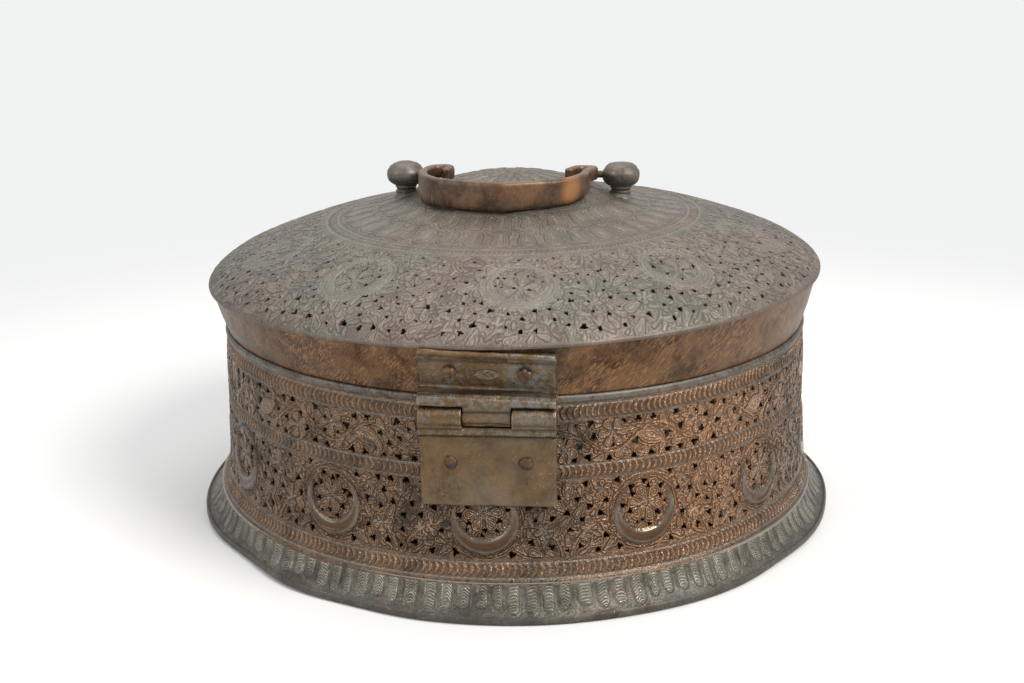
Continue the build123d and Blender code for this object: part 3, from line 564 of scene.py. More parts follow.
# Outer lines in millimetres: height and radius up the wall and the foot, radius and height over
# the dome.
WALL = ((12.7, 130.15), (13.4, 129.7), (18.1, 127.47), (23.7, 126.11), (33.8, 125.26),
        (43.7, 124.88), (57.7, 124.59), (65.5, 124.41), (75.1, 123.95), (83.0, 123.4))
FOOT = ((12.7, 129.9), (9.03, 131.3), (5.73, 133.45), (3.6, 135.3), (2.55, 136.6))
DOME = ((0, 142.14), (8.3, 141.8), (16.5, 140.75), (24.7, 139.05), (32.9, 136.57), (41.1, 133.61),
        (49.3, 130.83), (57.5, 128.44), (65.7, 126.52), (73.9, 125.03), (82.1, 123.42),
        (90.3, 121.31), (98.5, 118.78), (106.7, 115.96), (114.9, 112.97), (119.0, 111.19),
        (123.1, 108.95), (127.2, 106.05), (129.0, 104.4), (130.0, 103.0))
LID_RADIUS = DOME[-1][0]
LID_BASE = 83.3  # height of the lower edge of the lid's band
BAND_RISE = 17.7
# Dents in the flange: where round the box and how wide, in radians, and share of the deepest.
FLANGE_DENTS = ((-2.42, 0.20, 1.0), (-1.98, 0.16, 0.62), (-0.62, 0.14, 0.35), (2.2, 0.3, 0.4),
                (0.7, 0.25, 0.3))


def dome_height(r):
    known, heights = np.array(DOME).T
    return smooth_between(np.asarray(r, float), known, heights)


def smooth_between(at, known, values):
    """Values between known places along a smooth curve through them."""
    slope = np.gradient(values, known)
    i = np.clip(np.searchsorted(known, at) - 1, 0, len(known) - 2)
    step = known[i + 1] - known[i]
    t = np.clip((at - known[i]) / step, 0, 1)
    rise = values[i + 1] - values[i]
    a = slope[i] * step - rise
    b = rise - slope[i + 1] * step
    return values[i] + rise * t + t * (1 - t) * (a * (1 - t) + b * t)


def hand_made(points):
    """Moves points a little, as a hammered and dented box departs from a true circle."""
    x, y, z = points.T
    r = np.hypot(x, y)
    a = np.arctan2(y, x)
    calm = 1 - np.exp(-((np.abs(np.abs(a) - math.pi / 2)) / 0.24) ** 4)
    out = 0.30 * np.sin(3 * a + 0.6) + 0.22 * np.sin(5 * a + 0.02 * z) + 0.12 * np.sin(11 * a)
    out = out * calm * np.clip((r - 60) / 60, 0, 1)
    sizes = bpy.context.scene.paan_sizes
    tilt = sizes.lid_tilt / MM / LID_RADIUS * np.clip((r - 48) / 30, 0, 1)
    lift = tilt * x * np.clip((z - LID_BASE) / BAND_RISE, 0, 1)
    edge = np.clip((r - 130) / 8, 0, 1) * (z < 13) * np.clip((13.5 - z) / 9, 0, 1)
    depth = sizes.dent / MM
    for middle, half, push in FLANGE_DENTS:
        gap = (a - middle + math.pi) % TAU - math.pi
        out = out - push * depth * edge * near(gap, 0, half)
    ripple = 0.5 + 0.5 * np.sin(4 * a + 1.1) * np.sin(7 * a + 2.0)
    lift = lift + 0.9 * edge * ripple
    factor = 1 + out / np.maximum(r, 1e-6)
    return np.stack([x * factor, y * factor, z + lift], axis=1)


def add_mesh(name, points, faces, values=None):
    """A mesh object from millimetre points, with its point values as attributes."""
    mesh = bpy.data.meshes.new(name)
    mesh.from_pydata((hand_made(points) * MM).tolist(), [], faces)
    for label, numbers in (values or {}).items():
        mesh.attributes.new(label, "FLOAT", "POINT").data.foreach_set(
            "value", np.asarray(numbers, np.float32))
    mesh.update()
    piece = bpy.data.objects.new(name, mesh)
    bpy.context.scene.collection.objects.link(piece)
    return piece


def pick(piece):
    """Makes one object the selected and active one."""
    bpy.ops.object.select_all(action="DESELECT")
    piece.select_set(True)
    bpy.context.view_layer.objects.active = piece


def soften(piece, degrees=38):
    pick(piece)
    bpy.ops.object.shade_smooth_by_angle(angle=math.radians(degrees))


def worked_shell(name, sheet, radius, height, outward, lift, thickness, part=(0.0, 1.0)):
    """Closed shell of a worked sheet, turned around Z, with its piercings cut out.

    radius and height are along the sheet's rows; outward is 1 where rows rise up a wall and -1
    where they run out over a lid or foot; part is the share of the turn that is made.
    """
    rows = sheet.rows
    step = rows[1] - rows[0]
    near = np.abs(sheet.hole) < 0.45 * step
    near[0] = near[-1] = False
    push = np.where(near, -sheet.hole, 0.0)
    angle = np.broadcast_to(sheet.angle, sheet.hole.shape)
    if sheet.radius:
        turn = push * sheet.hole_x / sheet.radius
        along = push * sheet.hole_y
    else:
        along = push * (sheet.hole_x * np.cos(angle) + sheet.hole_y * np.sin(angle))
        turn = push * (sheet.hole_y * np.cos(angle) - sheet.hole_x * np.sin(angle)) / rows[:, None]
    angle = angle + turn
    at = rows[:, None] + along
    r = radius(at)
    z = height(at)
    dr = (radius(at + 0.05) - radius(at - 0.05)) / 0.1
    dz = (height(at + 0.05) - height(at - 0.05)) / 0.1
    size = np.hypot(dr, dz)
    nr = outward * dz / size
    nz = -outward * dr / size

    def place(raise_by):
        out = r + nr * raise_by
        return np.stack([out * np.cos(angle), out * np.sin(angle), z + nz * raise_by], axis=-1)

    first, last = (int(round(share * sheet.n)) for share in part)
    whole = last - first == sheet.n
    columns = np.arange(first, last + (0 if whole else 1)) % sheet.n
    points = np.concatenate([place(lift)[:, columns].reshape(-1, 3),
                             place(-thickness)[:, columns].reshape(-1, 3)])
    wide = len(columns)
    across = wide if whole else wide - 1
    i, j = np.meshgrid(np.arange(len(rows) - 1), np.arange(across), indexing="ij")
    right = (j + 1) % wide
    quads = np.stack([i * wide + j, i * wide + right, (i + 1) * wide + right, (i + 1) * wide + j],
                     axis=-1)
    depth = sheet.hole[:, columns].reshape(-1)
    keep = depth[quads].mean(-1) > 0
    for _ in range(3):
        below = keep[:-1]
        above = keep[1:]
        one = below[:, :-1] & above[:, 1:] & ~below[:, 1:] & ~above[:, :-1]
        two = below[:, 1:] & above[:, :-1] & ~below[:, :-1] & ~above[:, 1:]
        below[:, :-1] &= ~one
        below[:, 1:] &= ~two
    quads = quads[keep]
    if outward < 0:
        quads = quads[:, ::-1]
    layer = len(rows) * wide
    starts = quads.reshape(-1)
    ends = np.roll(quads, -1, axis=1).reshape(-1)
    free = ~np.isin(starts * layer + ends, ends * layer + starts)
    rim = np.stack([ends[free], starts[free], starts[free] + layer, ends[free] + layer], axis=-1)
    faces = np.concatenate([quads, quads[:, ::-1] + layer, rim])
    used, compact = np.unique(faces, return_inverse=True)
    none = np.zeros(layer)
    contour = np.clip(sheet.raised, -9, 1.0)
    if sheet.chevron is not None:
        contour = np.where(np.isnan(sheet.chevron), 1.0, sheet.chevron - 30)
    contour = np.where(sheet.plain | (sheet.moon < 0), 1.0, contour)
    values = {
        "raised": np.concatenate([
            np.clip(lift / max(lift.max(), 1e-6), 0, 1)[:, columns].reshape(-1), none])[used],
        "chased": np.concatenate([
            np.exp(-(sheet.line / 0.35) ** 2)[:, columns].reshape(-1), none])[used],
        "edge": np.concatenate([
            np.exp(-(np.minimum(sheet.raised, sheet.moon) / 0.4) ** 2)[:, columns].reshape(-1),
            none])[used],
        "contour": np.concatenate([contour[:, columns].reshape(-1), none])[used],
        "stroke": np.concatenate([sheet.stroke[:, columns].reshape(-1), none + 0.42])[used],
        # inner marks the band inside each crescent's edges, which the finish paints pale, partly as a
        # painted highlight
        "inner": np.concatenate([
            np.exp(-((sheet.moon + 0.7) / 0.55) ** 2)[:, columns].reshape(-1), none])[used],
        "smooth": np.concatenate([
            np.clip(0.4 - sheet.moon / 0.8, 0, 1)[:, columns].reshape(-1), none])[used],
    }
    piece = add_mesh(name, points[used], compact.reshape(faces.shape).tolist(), values)
    soften(piece, 50)
    return piece


def turned(name, profile, steps=288, smooth=38, shape=True):
    """A ring or disc spun around Z from an outline of (radius, height) in millimetres."""
    bpy.ops.object.select_all(action="DESELECT")
    bpy.ops.mesh.primitive_circle_add(vertices=len(profile), radius=1.0)
    piece = bpy.context.object
    piece.name = name
    piece.data.name = name
    for vertex, (r, z) in zip(piece.data.vertices, profile):
        vertex.co = (r * MM, 0.0, z * MM)
    bpy.ops.object.mode_set(mode="EDIT")
    bpy.ops.mesh.select_all(action="SELECT")
    bpy.ops.mesh.spin(steps=steps, angle=TAU, center=(0, 0, 0), axis=(0, 0, 1))
    bpy.ops.mesh.select_all(action="SELECT")
    bpy.ops.mesh.remove_doubles(threshold=0.00001)
    bpy.ops.mesh.normals_make_consistent(inside=False)
    bpy.ops.object.mode_set(mode="OBJECT")
    if shape:
        points = np.array([v.co for v in piece.data.vertices]) / MM
        piece.data.vertices.foreach_set("co", (hand_made(points) * MM).ravel())
    soften(piece, smooth)
    return piece


def swept(name, path, top, base, thickness, round_by=1.5, sides=20):
    """A strip on edge along a path in plan, with rounded edges; top and base are its heights."""
    path = np.asarray(path, float)
    run = run_along(path)
    heading = np.gradient(path, run, axis=0)
    heading /= np.hypot(*heading.T)[:, None]
    across = np.stack([heading[:, 1], -heading[:, 0]], axis=1)
    ring_points = []
    for k in range(sides):
        a = TAU * (k + 0.5) / sides
        ring_points.append((math.copysign(abs(math.cos(a)) ** 0.45, math.cos(a)),
                            math.copysign(abs(math.sin(a)) ** 0.45, math.sin(a))))
    count = len(path)
    points = []
    for i in range(count):
        end = min(run[i], run[-1] - run[i])
        shrink = math.sqrt(max(0.04, 1 - max(0, 1 - end / round_by) ** 2))
        middle = 0.5 * (top[i] + base[i])
        half = 0.5 * (top[i] - base[i]) * (0.8 + 0.2 * shrink)
        for c, s in ring_points:
            out = 0.5 * thickness * c * shrink
            points.append((path[i, 0] + across[i, 0] * out, path[i, 1] + across[i, 1] * out,
                           middle + half * s))
    faces = []
    for i in range(count - 1):
        for k in range(sides):
            n = (k + 1) % sides
            faces.append((i * sides + k, i * sides + n, (i + 1) * sides + n, (i + 1) * sides + k))
    faces.append(tuple(range(sides))[::-1])
    faces.append(tuple((count - 1) * sides + k for k in range(sides)))
    mesh = bpy.data.meshes.new(name)
    mesh.from_pydata((np.array(points) * MM).tolist(), [], faces)
    piece = bpy.data.objects.new(name, mesh)
    bpy.context.scene.collection.objects.link(piece)
    pick(piece)
    bpy.ops.object.mode_set(mode="EDIT")
    bpy.ops.mesh.select_all(action="SELECT")
    bpy.ops.mesh.normals_make_consistent(inside=False)
    bpy.ops.object.mode_set(mode="OBJECT")
    return piece


def apply_modifiers(piece):
    pick(piece)
    for modifier in list(piece.modifiers):
        bpy.ops.object.modifier_apply(modifier=modifier.name)


def battered(piece, amount, size, seed=1):
    """Shallow dents and file marks: moves points along their normals by smooth waves."""
    rng = np.random.default_rng(int(seed))
    count = len(piece.data.vertices)
    points = np.empty(count * 3)
    normals = np.empty(count * 3)
    piece.data.vertices.foreach_get("co", points)
    piece.data.vertices.foreach_get("normal", normals)
    points = points.reshape(-1, 3)
    push = np.zeros(count)
    for _ in range(28):
        wave = rng.normal(size=3)
        wave *= TAU / (size * MM * rng.uniform(0.5, 1.8)) / np.linalg.norm(wave)
        push += np.sin(points @ wave + rng.uniform(0, TAU))
    points += normals.reshape(-1, 3) * (push / 7.0 * amount * MM)[:, None]
    piece.data.vertices.foreach_set("co", points.ravel())
    piece.data.update()


def carved(piece, work):
    """Moves points by a function of their places and normals, all in millimetres."""
    count = len(piece.data.vertices)
    points = np.empty(count * 3)
    normals = np.empty(count * 3)
    piece.data.vertices.foreach_get("co", points)
    piece.data.vertices.foreach_get("normal", normals)
    points = points.reshape(-1, 3) / MM
    points = points + work(points, normals.reshape(-1, 3))
    piece.data.vertices.foreach_set("co", (points * MM).ravel())
    piece.data.update()


def dressed(name, node, bevel=None, segments=3, cuts=0, dents=0.0, dent_size=9.0, angle=30,
            shape=False, seed=1, smooth=32, carve=None,
            values=None):
    """A piece worked up from a copy of a CAD node: joined faces, rounded edges, dents."""
    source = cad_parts[node]
    piece = bpy.data.objects.new(name, source.data.copy())
    piece.data.name = name
    piece.data.materials.clear()
    bpy.context.scene.collection.objects.link(piece)
    pick(piece)
    bpy.ops.object.mode_set(mode="EDIT")
    bpy.ops.mesh.select_all(action="SELECT")
    bpy.ops.mesh.remove_doubles(threshold=0.000005)
    bpy.ops.mesh.dissolve_limited(angle_limit=math.radians(1.0))
    bpy.ops.object.mode_set(mode="OBJECT")
    width = bpy.context.scene.paan_sizes.bevel if bevel is None else bevel * MM
    if width:
        rounding = piece.modifiers.new("Round", "BEVEL")
        rounding.width = width
        rounding.segments = segments
        rounding.limit_method = "ANGLE"
        rounding.angle_limit = math.radians(angle)
        rounding.use_clamp_overlap = True
        rounding.harden_normals = False
    apply_modifiers(piece)
    if cuts:
        remesh = piece.modifiers.new("Even", "REMESH")
        remesh.mode = "VOXEL"
        remesh.voxel_size = cuts * MM
        relax = piece.modifiers.new("Relax", "SMOOTH")
        relax.factor = 0.5
        relax.iterations = 3
        apply_modifiers(piece)
    if dents:
        battered(piece, dents, dent_size, seed)
    if carve:
        carved(piece, carve)
    if values:
        points = np.array([v.co for v in piece.data.vertices]) / MM
        for label, numbers in values(points).items():
            piece.data.attributes.new(label, "FLOAT", "POINT").data.foreach_set(
                "value", np.asarray(numbers, np.float32))
    if shape:
        points = np.array([v.co for v in piece.data.vertices]) / MM
        piece.data.vertices.foreach_set("co", (hand_made(points) * MM).ravel())
    soften(piece, smooth)
    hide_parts(node)
    return piece


def finish(piece, body, material):
    piece.data.materials.clear()
    piece.data.materials.append(material)
    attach(piece, body)


# ---- finishes ------------------------------------------------------------------------


def add_node(tree, kind, inputs=None, **settings):
    """Adds a node; inputs are sockets to link or values to set, by name or place."""
    made = tree.nodes.new(kind)
    for key, value in settings.items():
        setattr(made, key, value)
    for key, value in (inputs or {}).items():
        if isinstance(value, bpy.types.NodeSocket):
            tree.links.new(value, made.inputs[key])
        else:
            made.inputs[key].default_value = value
    return made


def math_node(tree, operation, a, b, clamp=False):
    made = add_node(tree, "ShaderNodeMath", {0: a, 1: b}, operation=operation, use_clamp=clamp)
    return made.outputs[0]


def sums(tree):
    """Functions that add, subtract, multiply and take the larger of two values in a tree."""
    kinds = ("ADD", "SUBTRACT", "MULTIPLY", "MAXIMUM")
    return [partial(math_node, tree, kind) for kind in kinds]


def spread(tree, value, low, high, to_low=0.0, to_high=1.0):
    """Maps a range of values smoothly to another."""
    made = add_node(tree, "ShaderNodeMapRange", {
        "Value": value, "From Min": low, "From Max": high, "To Min": to_low, "To Max": to_high,
    }, interpolation_type="SMOOTHSTEP")
    return made.outputs["Result"]


def blend(tree, amount, first, second):
    """Mixes two colours."""
    made = add_node(tree, "ShaderNodeMix", {0: amount, 6: first, 7: second}, data_type="RGBA",
                    clamp_factor=True)
    return made.outputs[2]


def grain(tree, place, scale, detail=3.0, rough=0.55, distortion=0.0):
    """Noise with a scale in features per metre."""
    made = add_node(tree, "ShaderNodeTexNoise", {
        "Vector": place, "Scale": scale, "Detail": detail, "Roughness": rough,
        "Distortion": distortion})
    return made.outputs["Fac"]


def group_tree(name, inputs, outputs):
    """A shader node group with named sockets; gives its tree, inputs and output node."""
    tree = bpy.data.node_groups.new(name, "ShaderNodeTree")
    kinds = {"colour": "NodeSocketColor", "value": "NodeSocketFloat"}
    for kind, label, default in inputs:
        made = tree.interface.new_socket(label, in_out="INPUT", socket_type=kinds[kind])
        made.default_value = default
    for kind, label in outputs:
        tree.interface.new_socket(label, in_out="OUTPUT", socket_type=kinds[kind])
    return tree, tree.nodes.new("NodeGroupInput").outputs, tree.nodes.new("NodeGroupOutput")


def place_of(tree):
    return tree.nodes.new("ShaderNodeTexCoord").outputs["Object"]


def point_value(tree, name):
    """A value that the piece's points carry."""
    return add_node(tree, "ShaderNodeAttribute", attribute_name=name).outputs["Fac"]


def use_group(tree, name, inputs):
    return add_node(tree, "ShaderNodeGroup", inputs, node_tree=bpy.data.node_groups[name]).outputs


def make_engraving_group():
    """Fine engraved lines that follow the outlines of the leaves, and marbling on bare sheet."""
    tree, given, result = group_tree("Engraving", [
        ("value", "Contour", 1.0), ("value", "Stroke", 0.8), ("value", "Pitch", 0.9),
        ("value", "Wobble", 1.3),
    ], [("value", "Ridge")])
    add, subtract, multiply, _ = sums(tree)
    place = place_of(tree)
    waver = add(grain(tree, place, 240, 2, 0.5), multiply(grain(tree, place, 900, 2, 0.5), 0.8))
    waver = multiply(subtract(waver, 0.9), given["Wobble"])
    half = multiply(given["Pitch"], 0.5)
    wave = math_node(tree, "PINGPONG", add(given["Contour"], waver), half)
    wave = math_node(tree, "DIVIDE", wave, half)
    bare = math_node(tree, "GREATER_THAN", given["Contour"], 0.98)
    marble = math_node(tree, "PINGPONG", multiply(grain(tree, place, 260, 2, 0.5), 7.0), 0.5)
    plain = multiply(spread(tree, marble, 0.1, 0.4, 0.5, 1.0),
                     spread(tree, given["Stroke"], 0.05, 0.7, 0.3, 1.0))
    ridge = add(multiply(spread(tree, wave, 0.15, 0.85), subtract(1.0, bare)),
                multiply(bare, plain))
    tree.links.new(ridge, result.inputs["Ridge"])


def make_aged_group():
    """Old brass: ground, dark hollows, grey film in clouds, worn high spots, dust specks, and a painted
    highlight of the key light inside the sheen spot.
    """
    tree, given, result = group_tree("Aged Brass", [
        ("colour", "Ground", (0.2, 0.15, 0.1, 1)), ("colour", "Worn", (0.4, 0.3, 0.2, 1)),
        ("colour", "Film", (0.2, 0.2, 0.17, 1)), ("colour", "Dark", (0.02, 0.015, 0.01, 1)),
        ("colour", "Dust", (0.4, 0.38, 0.33, 1)), ("value", "Raised", 0.0),
        ("value", "Chased", 0.0), ("value", "Edge", 0.0), ("value", "Ridge", 0.0),
        ("value", "Film Amount", 0.4), ("value", "Wear", 0.5), ("value", "Hollow", 0.6),
        ("value", "Lines", 0.5), ("value", "Dust Amount", 0.3), ("value", "Roughness", 0.5),
        ("value", "Patch", 0.0),
    ], [("colour", "Color"), ("value", "Roughness"), ("value", "Height")])
    add, subtract, multiply, larger = sums(tree)
    place = place_of(tree)
    clouds = grain(tree, place, 22, 4, 0.6, 0.6)
    blotch = grain(tree, place, 95, 4, 0.62, 0.3)
    fine = grain(tree, place, 520, 4, 0.65)
    grit = grain(tree, place, 2100, 3, 0.7)

    tint = blend(tree, spread(tree, blotch, 0.32, 0.7), given["Ground"],
                 blend(tree, 0.35, given["Ground"], given["Worn"]))
    film = spread(tree, add(multiply(clouds, 0.5), multiply(fine, 0.5)), 0.43, 0.57)
    # inside the sheen spot the grey film is cleared, so that the painted highlight shows
    film = subtract(multiply(film, given["Film Amount"]), multiply(given["Patch"], 0.8), True)
    base = blend(tree, film, tint, given["Film"])

    low = subtract(1.0, spread(tree, given["Raised"], 0.05, 0.55))
    low = larger(multiply(low, spread(tree, fine, 0.25, 0.6, 0.55, 1.0)), given["Edge"])
    groove = multiply(subtract(1.0, given["Ridge"]), given["Lines"])
    low = larger(multiply(low, given["Hollow"]), multiply(groove, 0.55))
    base = blend(tree, low, base, given["Dark"])

    rubbed_and_sheen = spread(tree, add(blotch, multiply(fine, 0.5)), 0.48, 0.88, 0.15, 1.0)
    # inside the sheen spot the worn colour spreads wider: partly worn metal, partly a painted highlight
    # of the key light
    rubbed_and_sheen = add(rubbed_and_sheen, multiply(given["Patch"], 0.7), True)
    high = multiply(spread(tree, given["Raised"], 0.35, 0.95), given["Wear"])
    high = multiply(larger(high, multiply(given["Ridge"], given["Lines"])), rubbed_and_sheen)
    # painted highlight: the sheen spot is lit in the worn colour over its whole area
    high = larger(high, multiply(given["Patch"], multiply(given["Wear"], 0.5)))
    base = blend(tree, high, base, given["Worn"])

    base = blend(tree, multiply(given["Chased"], 0.35), base, given["Dust"])
    speck = spread(tree, grain(tree, place, 780, 2, 0.5), 0.66, 0.74)
    base = blend(tree, multiply(speck, given["Dust Amount"]), base, given["Dust"])
    base = blend(tree, spread(tree, grit, 0.35, 0.75, 0.0, 0.35), base, given["Dark"])

    rough = add(given["Roughness"], multiply(subtract(fine, 0.5), 0.35))
    height = add(multiply(fine, 0.6), multiply(grit, 0.25))
    height = subtract(height, multiply(given["Chased"], 0.5))
    tree.links.new(base, result.inputs["Color"])
    tree.links.new(subtract(rough, multiply(high, 0.16)), result.inputs["Roughness"])
    tree.links.new(add(height, multiply(given["Ridge"], 0.9)), result.inputs["Height"])


def make_scratch_group():
    """Short thin scratches on a turned piece, most of them at much the same slant."""
    tree, given, result = group_tree("Scratches", [
        ("value", "Slant", 0.6), ("value", "Fineness", 1.0), ("value", "Amount", 0.5),
    ], [("value", "Mask")])
    add, subtract, multiply, larger = sums(tree)
    axes = add_node(tree, "ShaderNodeSeparateXYZ", {0: place_of(tree)}).outputs
    around = multiply(math_node(tree, "ARCTAN2", axes[1], axes[0]), 0.126)
    masks = []
    for turn, stretch, scale, seed in ((1.0, 0.12, 1500, 0.0), (0.6, 0.16, 1900, 3.0),
                                       (1.35, 0.14, 1300, 7.0)):
        lean = multiply(given["Slant"], turn)
        u = add(around, multiply(axes[2], lean))
        v = subtract(axes[2], multiply(around, lean))
        spot = add_node(tree, "ShaderNodeCombineXYZ", {0: u, 1: multiply(v, stretch), 2: seed})
        fine = add_node(tree, "ShaderNodeTexNoise", {
            "Vector": spot.outputs[0], "Scale": multiply(given["Fineness"], scale),
            "Detail": 2.0}).outputs["Fac"]
        masks.append(spread(tree, fine, 0.56, 0.66))
    marks = larger(larger(masks[0], masks[1]), masks[2])
    patchy = spread(tree, grain(tree, place_of(tree), 70, 3), 0.35, 0.65, 0.25, 1.0)
    tree.links.new(multiply(multiply(marks, patchy), given["Amount"]), result.inputs["Mask"])


def metal(name, ground, worn, film=0.35, wear=0.5, hollow=0.6, dust=0.3, roughness=0.5,
          metallic=0.6, scratches=0.0, slant=0.6, edges=0.0, bump=0.25, lines=0.0, pitch=0.9,
          patch=None, polish=0.0, coat="film", tide=None):
    """One finish: aged brass with its own colours and amounts, and its own scratches.

    edges is how sharp a corner must be to be worn bare, on pieces without worked sheet;
    patch is the middle and the radius, in millimetres, of a spot that is partly
    worn bare by hands and partly a painted highlight of the key light;
    tide is the pair of heights, in millimetres, between which the film thins out.
    """
    colours = bpy.context.scene.paan_colours
    rgba = lambda c: (*getattr(colours, c), 1.0)
    paint = bpy.data.materials.new(name)
    paint.use_nodes = True
    tree = paint.node_tree
    tree.nodes.clear()
    add, subtract, multiply, _ = sums(tree)
    given = {label: point_value(tree, label.lower()) for label in ("Raised", "Chased", "Edge")}
    given["Film Amount"] = film
    if edges:
        pointed = tree.nodes.new("ShaderNodeNewGeometry").outputs["Pointiness"]
        given["Raised"] = spread(tree, pointed, 0.50, 0.50 + edges)
        # grey film per point; on the hinge it is partly a painted reflection of the light from above on
        # faces that look up
        given["Film Amount"] = add(point_value(tree, "filmed"), film, True)
    if tide:
        rise = add_node(tree, "ShaderNodeSeparateXYZ", {0: place_of(tree)}).outputs[2]
        given["Film Amount"] = spread(tree, rise, tide[0] * MM, tide[1] * MM, 1.0, film)
    if lines:
        given["Ridge"] = use_group(tree, "Engraving", {
            "Contour": point_value(tree, "contour"), "Stroke": point_value(tree, "stroke"),
            "Pitch": pitch})[0]
    # the sheen spot, strongest at its middle and gone at its radius: a painted highlight of the key
    # light over worn copper
    if patch:
        *middle, reach = (v * MM for v in patch)
        away = add_node(tree, "ShaderNodeVectorMath", {0: place_of(tree), 1: middle},
                        operation="DISTANCE").outputs["Value"]
        given["Patch"] = spread(tree, away, reach * 0.25, reach, 1.0, 0.0)
    base, rough, height = use_group(tree, "Aged Brass", {
        "Ground": rgba(ground), "Worn": rgba(worn), "Film": rgba(coat), "Dark": rgba("dark"),
        "Dust": rgba("dust"), "Wear": wear, "Hollow": hollow, "Lines": lines,
        "Dust Amount": dust, "Roughness": roughness, **given})
    # painted highlight: bright copper laid over the crests inside the sheen spot
    if patch:
        bare = spread(tree, away, reach * 0.2, reach, 0.35, 0.0)
        if lines:
            bare = multiply(bare, spread(tree, given["Ridge"], 0.4, 1.0))
        base = blend(tree, bare, base, rgba("rubbed_and_sheen"))
    if polish:
        smooth = point_value(tree, "smooth")
        base = blend(tree, multiply(smooth, polish), base, rgba("moon"))
        # pale film along the crescents' edges, partly a painted highlight of their rims
        cloudy = spread(tree, grain(tree, place_of(tree), 160, 3), 0.3, 0.6, 0.2, 0.8)
        base = blend(tree, multiply(point_value(tree, "inner"), cloudy), base, rgba("film"))
        rough = subtract(rough, multiply(smooth, 0.12))
        height = multiply(height, spread(tree, smooth, 0.0, 1.0, 1.0, 0.15))
    # painted shadow: dark lines laid along the hinge leaves' steps
    if edges:
        base = blend(tree, point_value(tree, "sooted"), base, rgba("dark"))
    if scratches:
        marks = use_group(tree, "Scratches", {"Slant": slant, "Amount": scratches})[0]
        base = blend(tree, marks, base, rgba(worn))
        height = subtract(height, marks)
    relief_bump = add_node(tree, "ShaderNodeBump", {
        "Strength": bump, "Distance": 0.0006, "Height": height})
    shader = add_node(tree, "ShaderNodeBsdfPrincipled", {
        "Base Color": base, "Roughness": rough, "Normal": relief_bump.outputs[0],
        "Metallic": metallic})
    end = tree.nodes.new("ShaderNodeOutputMaterial")
    tree.links.new(shader.outputs[0], end.inputs[0])


def backdrop(name, tint):
    """The stage's matt finish; far from the piece the camera sees it as an even pale ground."""
    paint = bpy.data.materials.new(name)
    paint.use_nodes = True
    tree = paint.node_tree
    matt = tree.nodes["Principled BSDF"]
    matt.inputs["Base Color"].default_value = (*tint, 1.0)
    matt.inputs["Roughness"].default_value = 0.9
    away = add_node(tree, "ShaderNodeVectorMath", {0: place_of(tree)},
                    operation="LENGTH").outputs["Value"]
    far = math_node(tree, "MULTIPLY", spread(tree, away, 0.22, 0.62),
                    tree.nodes.new("ShaderNodeLightPath").outputs["Is Camera Ray"])
    glow = add_node(tree, "ShaderNodeEmission", {"Color": (0.88, 0.885, 0.89, 1.0)})
    both = add_node(tree, "ShaderNodeMixShader", {0: far, 1: matt.outputs[0], 2: glow.outputs[0]})
    tree.links.new(both.outputs[0], tree.nodes["Material Output"].inputs[0])
    return paint


# ---- pieces --------------------------------------------------------------------------


class PAAN_OT_finishes(bpy.types.Operator):
    """Make every finish of the box"""

    bl_idname = "paan.finishes"
    bl_label = "Finishes"

    def execute(self, context):
        make_engraving_group()
        make_aged_group()
        make_scratch_group()
        # the wall's sheen spot on its right front, where the key light falls, is a painted highlight
        # over worn copper
        metal("case finish", "case", "case_worn_and_sheen", film=0.38, coat="lid_film", wear=0.55,
              hollow=0.55, dust=0.25,
              roughness=0.36, metallic=0.7, lines=0.85, pitch=0.95, bump=0.75, polish=0.85,
              patch=(78, -100, 48, 62))
        metal("bead finish", "case", "lid_worn", film=0.6, wear=0.3, hollow=0.0, dust=0.5,
              roughness=0.48, scratches=0.35, slant=0.2)
        metal("lid finish", "lid", "lid_worn", film=0.9, wear=0.35, hollow=0.2, dust=0.45,
              roughness=0.54, metallic=0.5, lines=0.55, pitch=1.2, bump=0.5, coat="lid_film")
        metal("rim finish", "lid", "lid_worn", film=0.6, wear=0.4, hollow=0.0, dust=0.5,
              roughness=0.52, scratches=0.35, slant=0.2, coat="lid_film")
        metal("foot finish", "foot", "foot_worn", film=0.15, wear=0.3, hollow=0.3, dust=0.4,
              roughness=0.48, metallic=0.5, lines=1.0, pitch=1.15, bump=0.5, tide=(4, 11),
              coat="foot_film")
        metal("flange finish", "foot", "foot_worn", film=0.85, wear=0.2, hollow=0.0, dust=0.5,
              roughness=0.45, metallic=0.5, scratches=0.15, slant=0.3, coat="foot_film")
        metal("band finish", "band", "band_worn", film=0.10, wear=0.3, hollow=0.0, dust=0.2,
              roughness=0.42, metallic=0.7, scratches=0.58, slant=-0.9)
        metal("hinge finish", "hinge", "hinge_worn", film=0.15, wear=0.9, hollow=0.0, dust=0.3,
              roughness=0.32, metallic=0.65, scratches=0.08, slant=0.1, edges=0.05, bump=0.8)
        metal("rivet finish", "rivet", "hinge_worn", film=0.0, wear=0.15, hollow=0.0, dust=0.1,
              roughness=0.5, edges=0.06)
        # the bail's sheen spot at its right front corner is a painted highlight over worn metal
        metal("bail finish", "bail", "bail_worn_and_sheen", film=0.22, wear=0.6, hollow=0.0, dust=0.1,
              roughness=0.40, metallic=0.6, scratches=0.15, slant=0.3, edges=0.06,
              patch=(26, -32, 140, 8))
        metal("post finish", "post", "lid_worn", film=0.5, wear=0.6, hollow=0.0, dust=0.4,
              roughness=0.5, edges=0.05)
        metal("iron finish", "iron", "hinge_worn", film=0.1, wear=0.2, hollow=0.0, dust=0.2,
              roughness=0.55, metallic=0.5)
        metal("tin finish", "tin", "tin", film=0.35, wear=0.3, hollow=0.0, dust=0.35,
              roughness=0.45, metallic=0.7, scratches=0.4, slant=0.5)
        return {"FINISHED"}


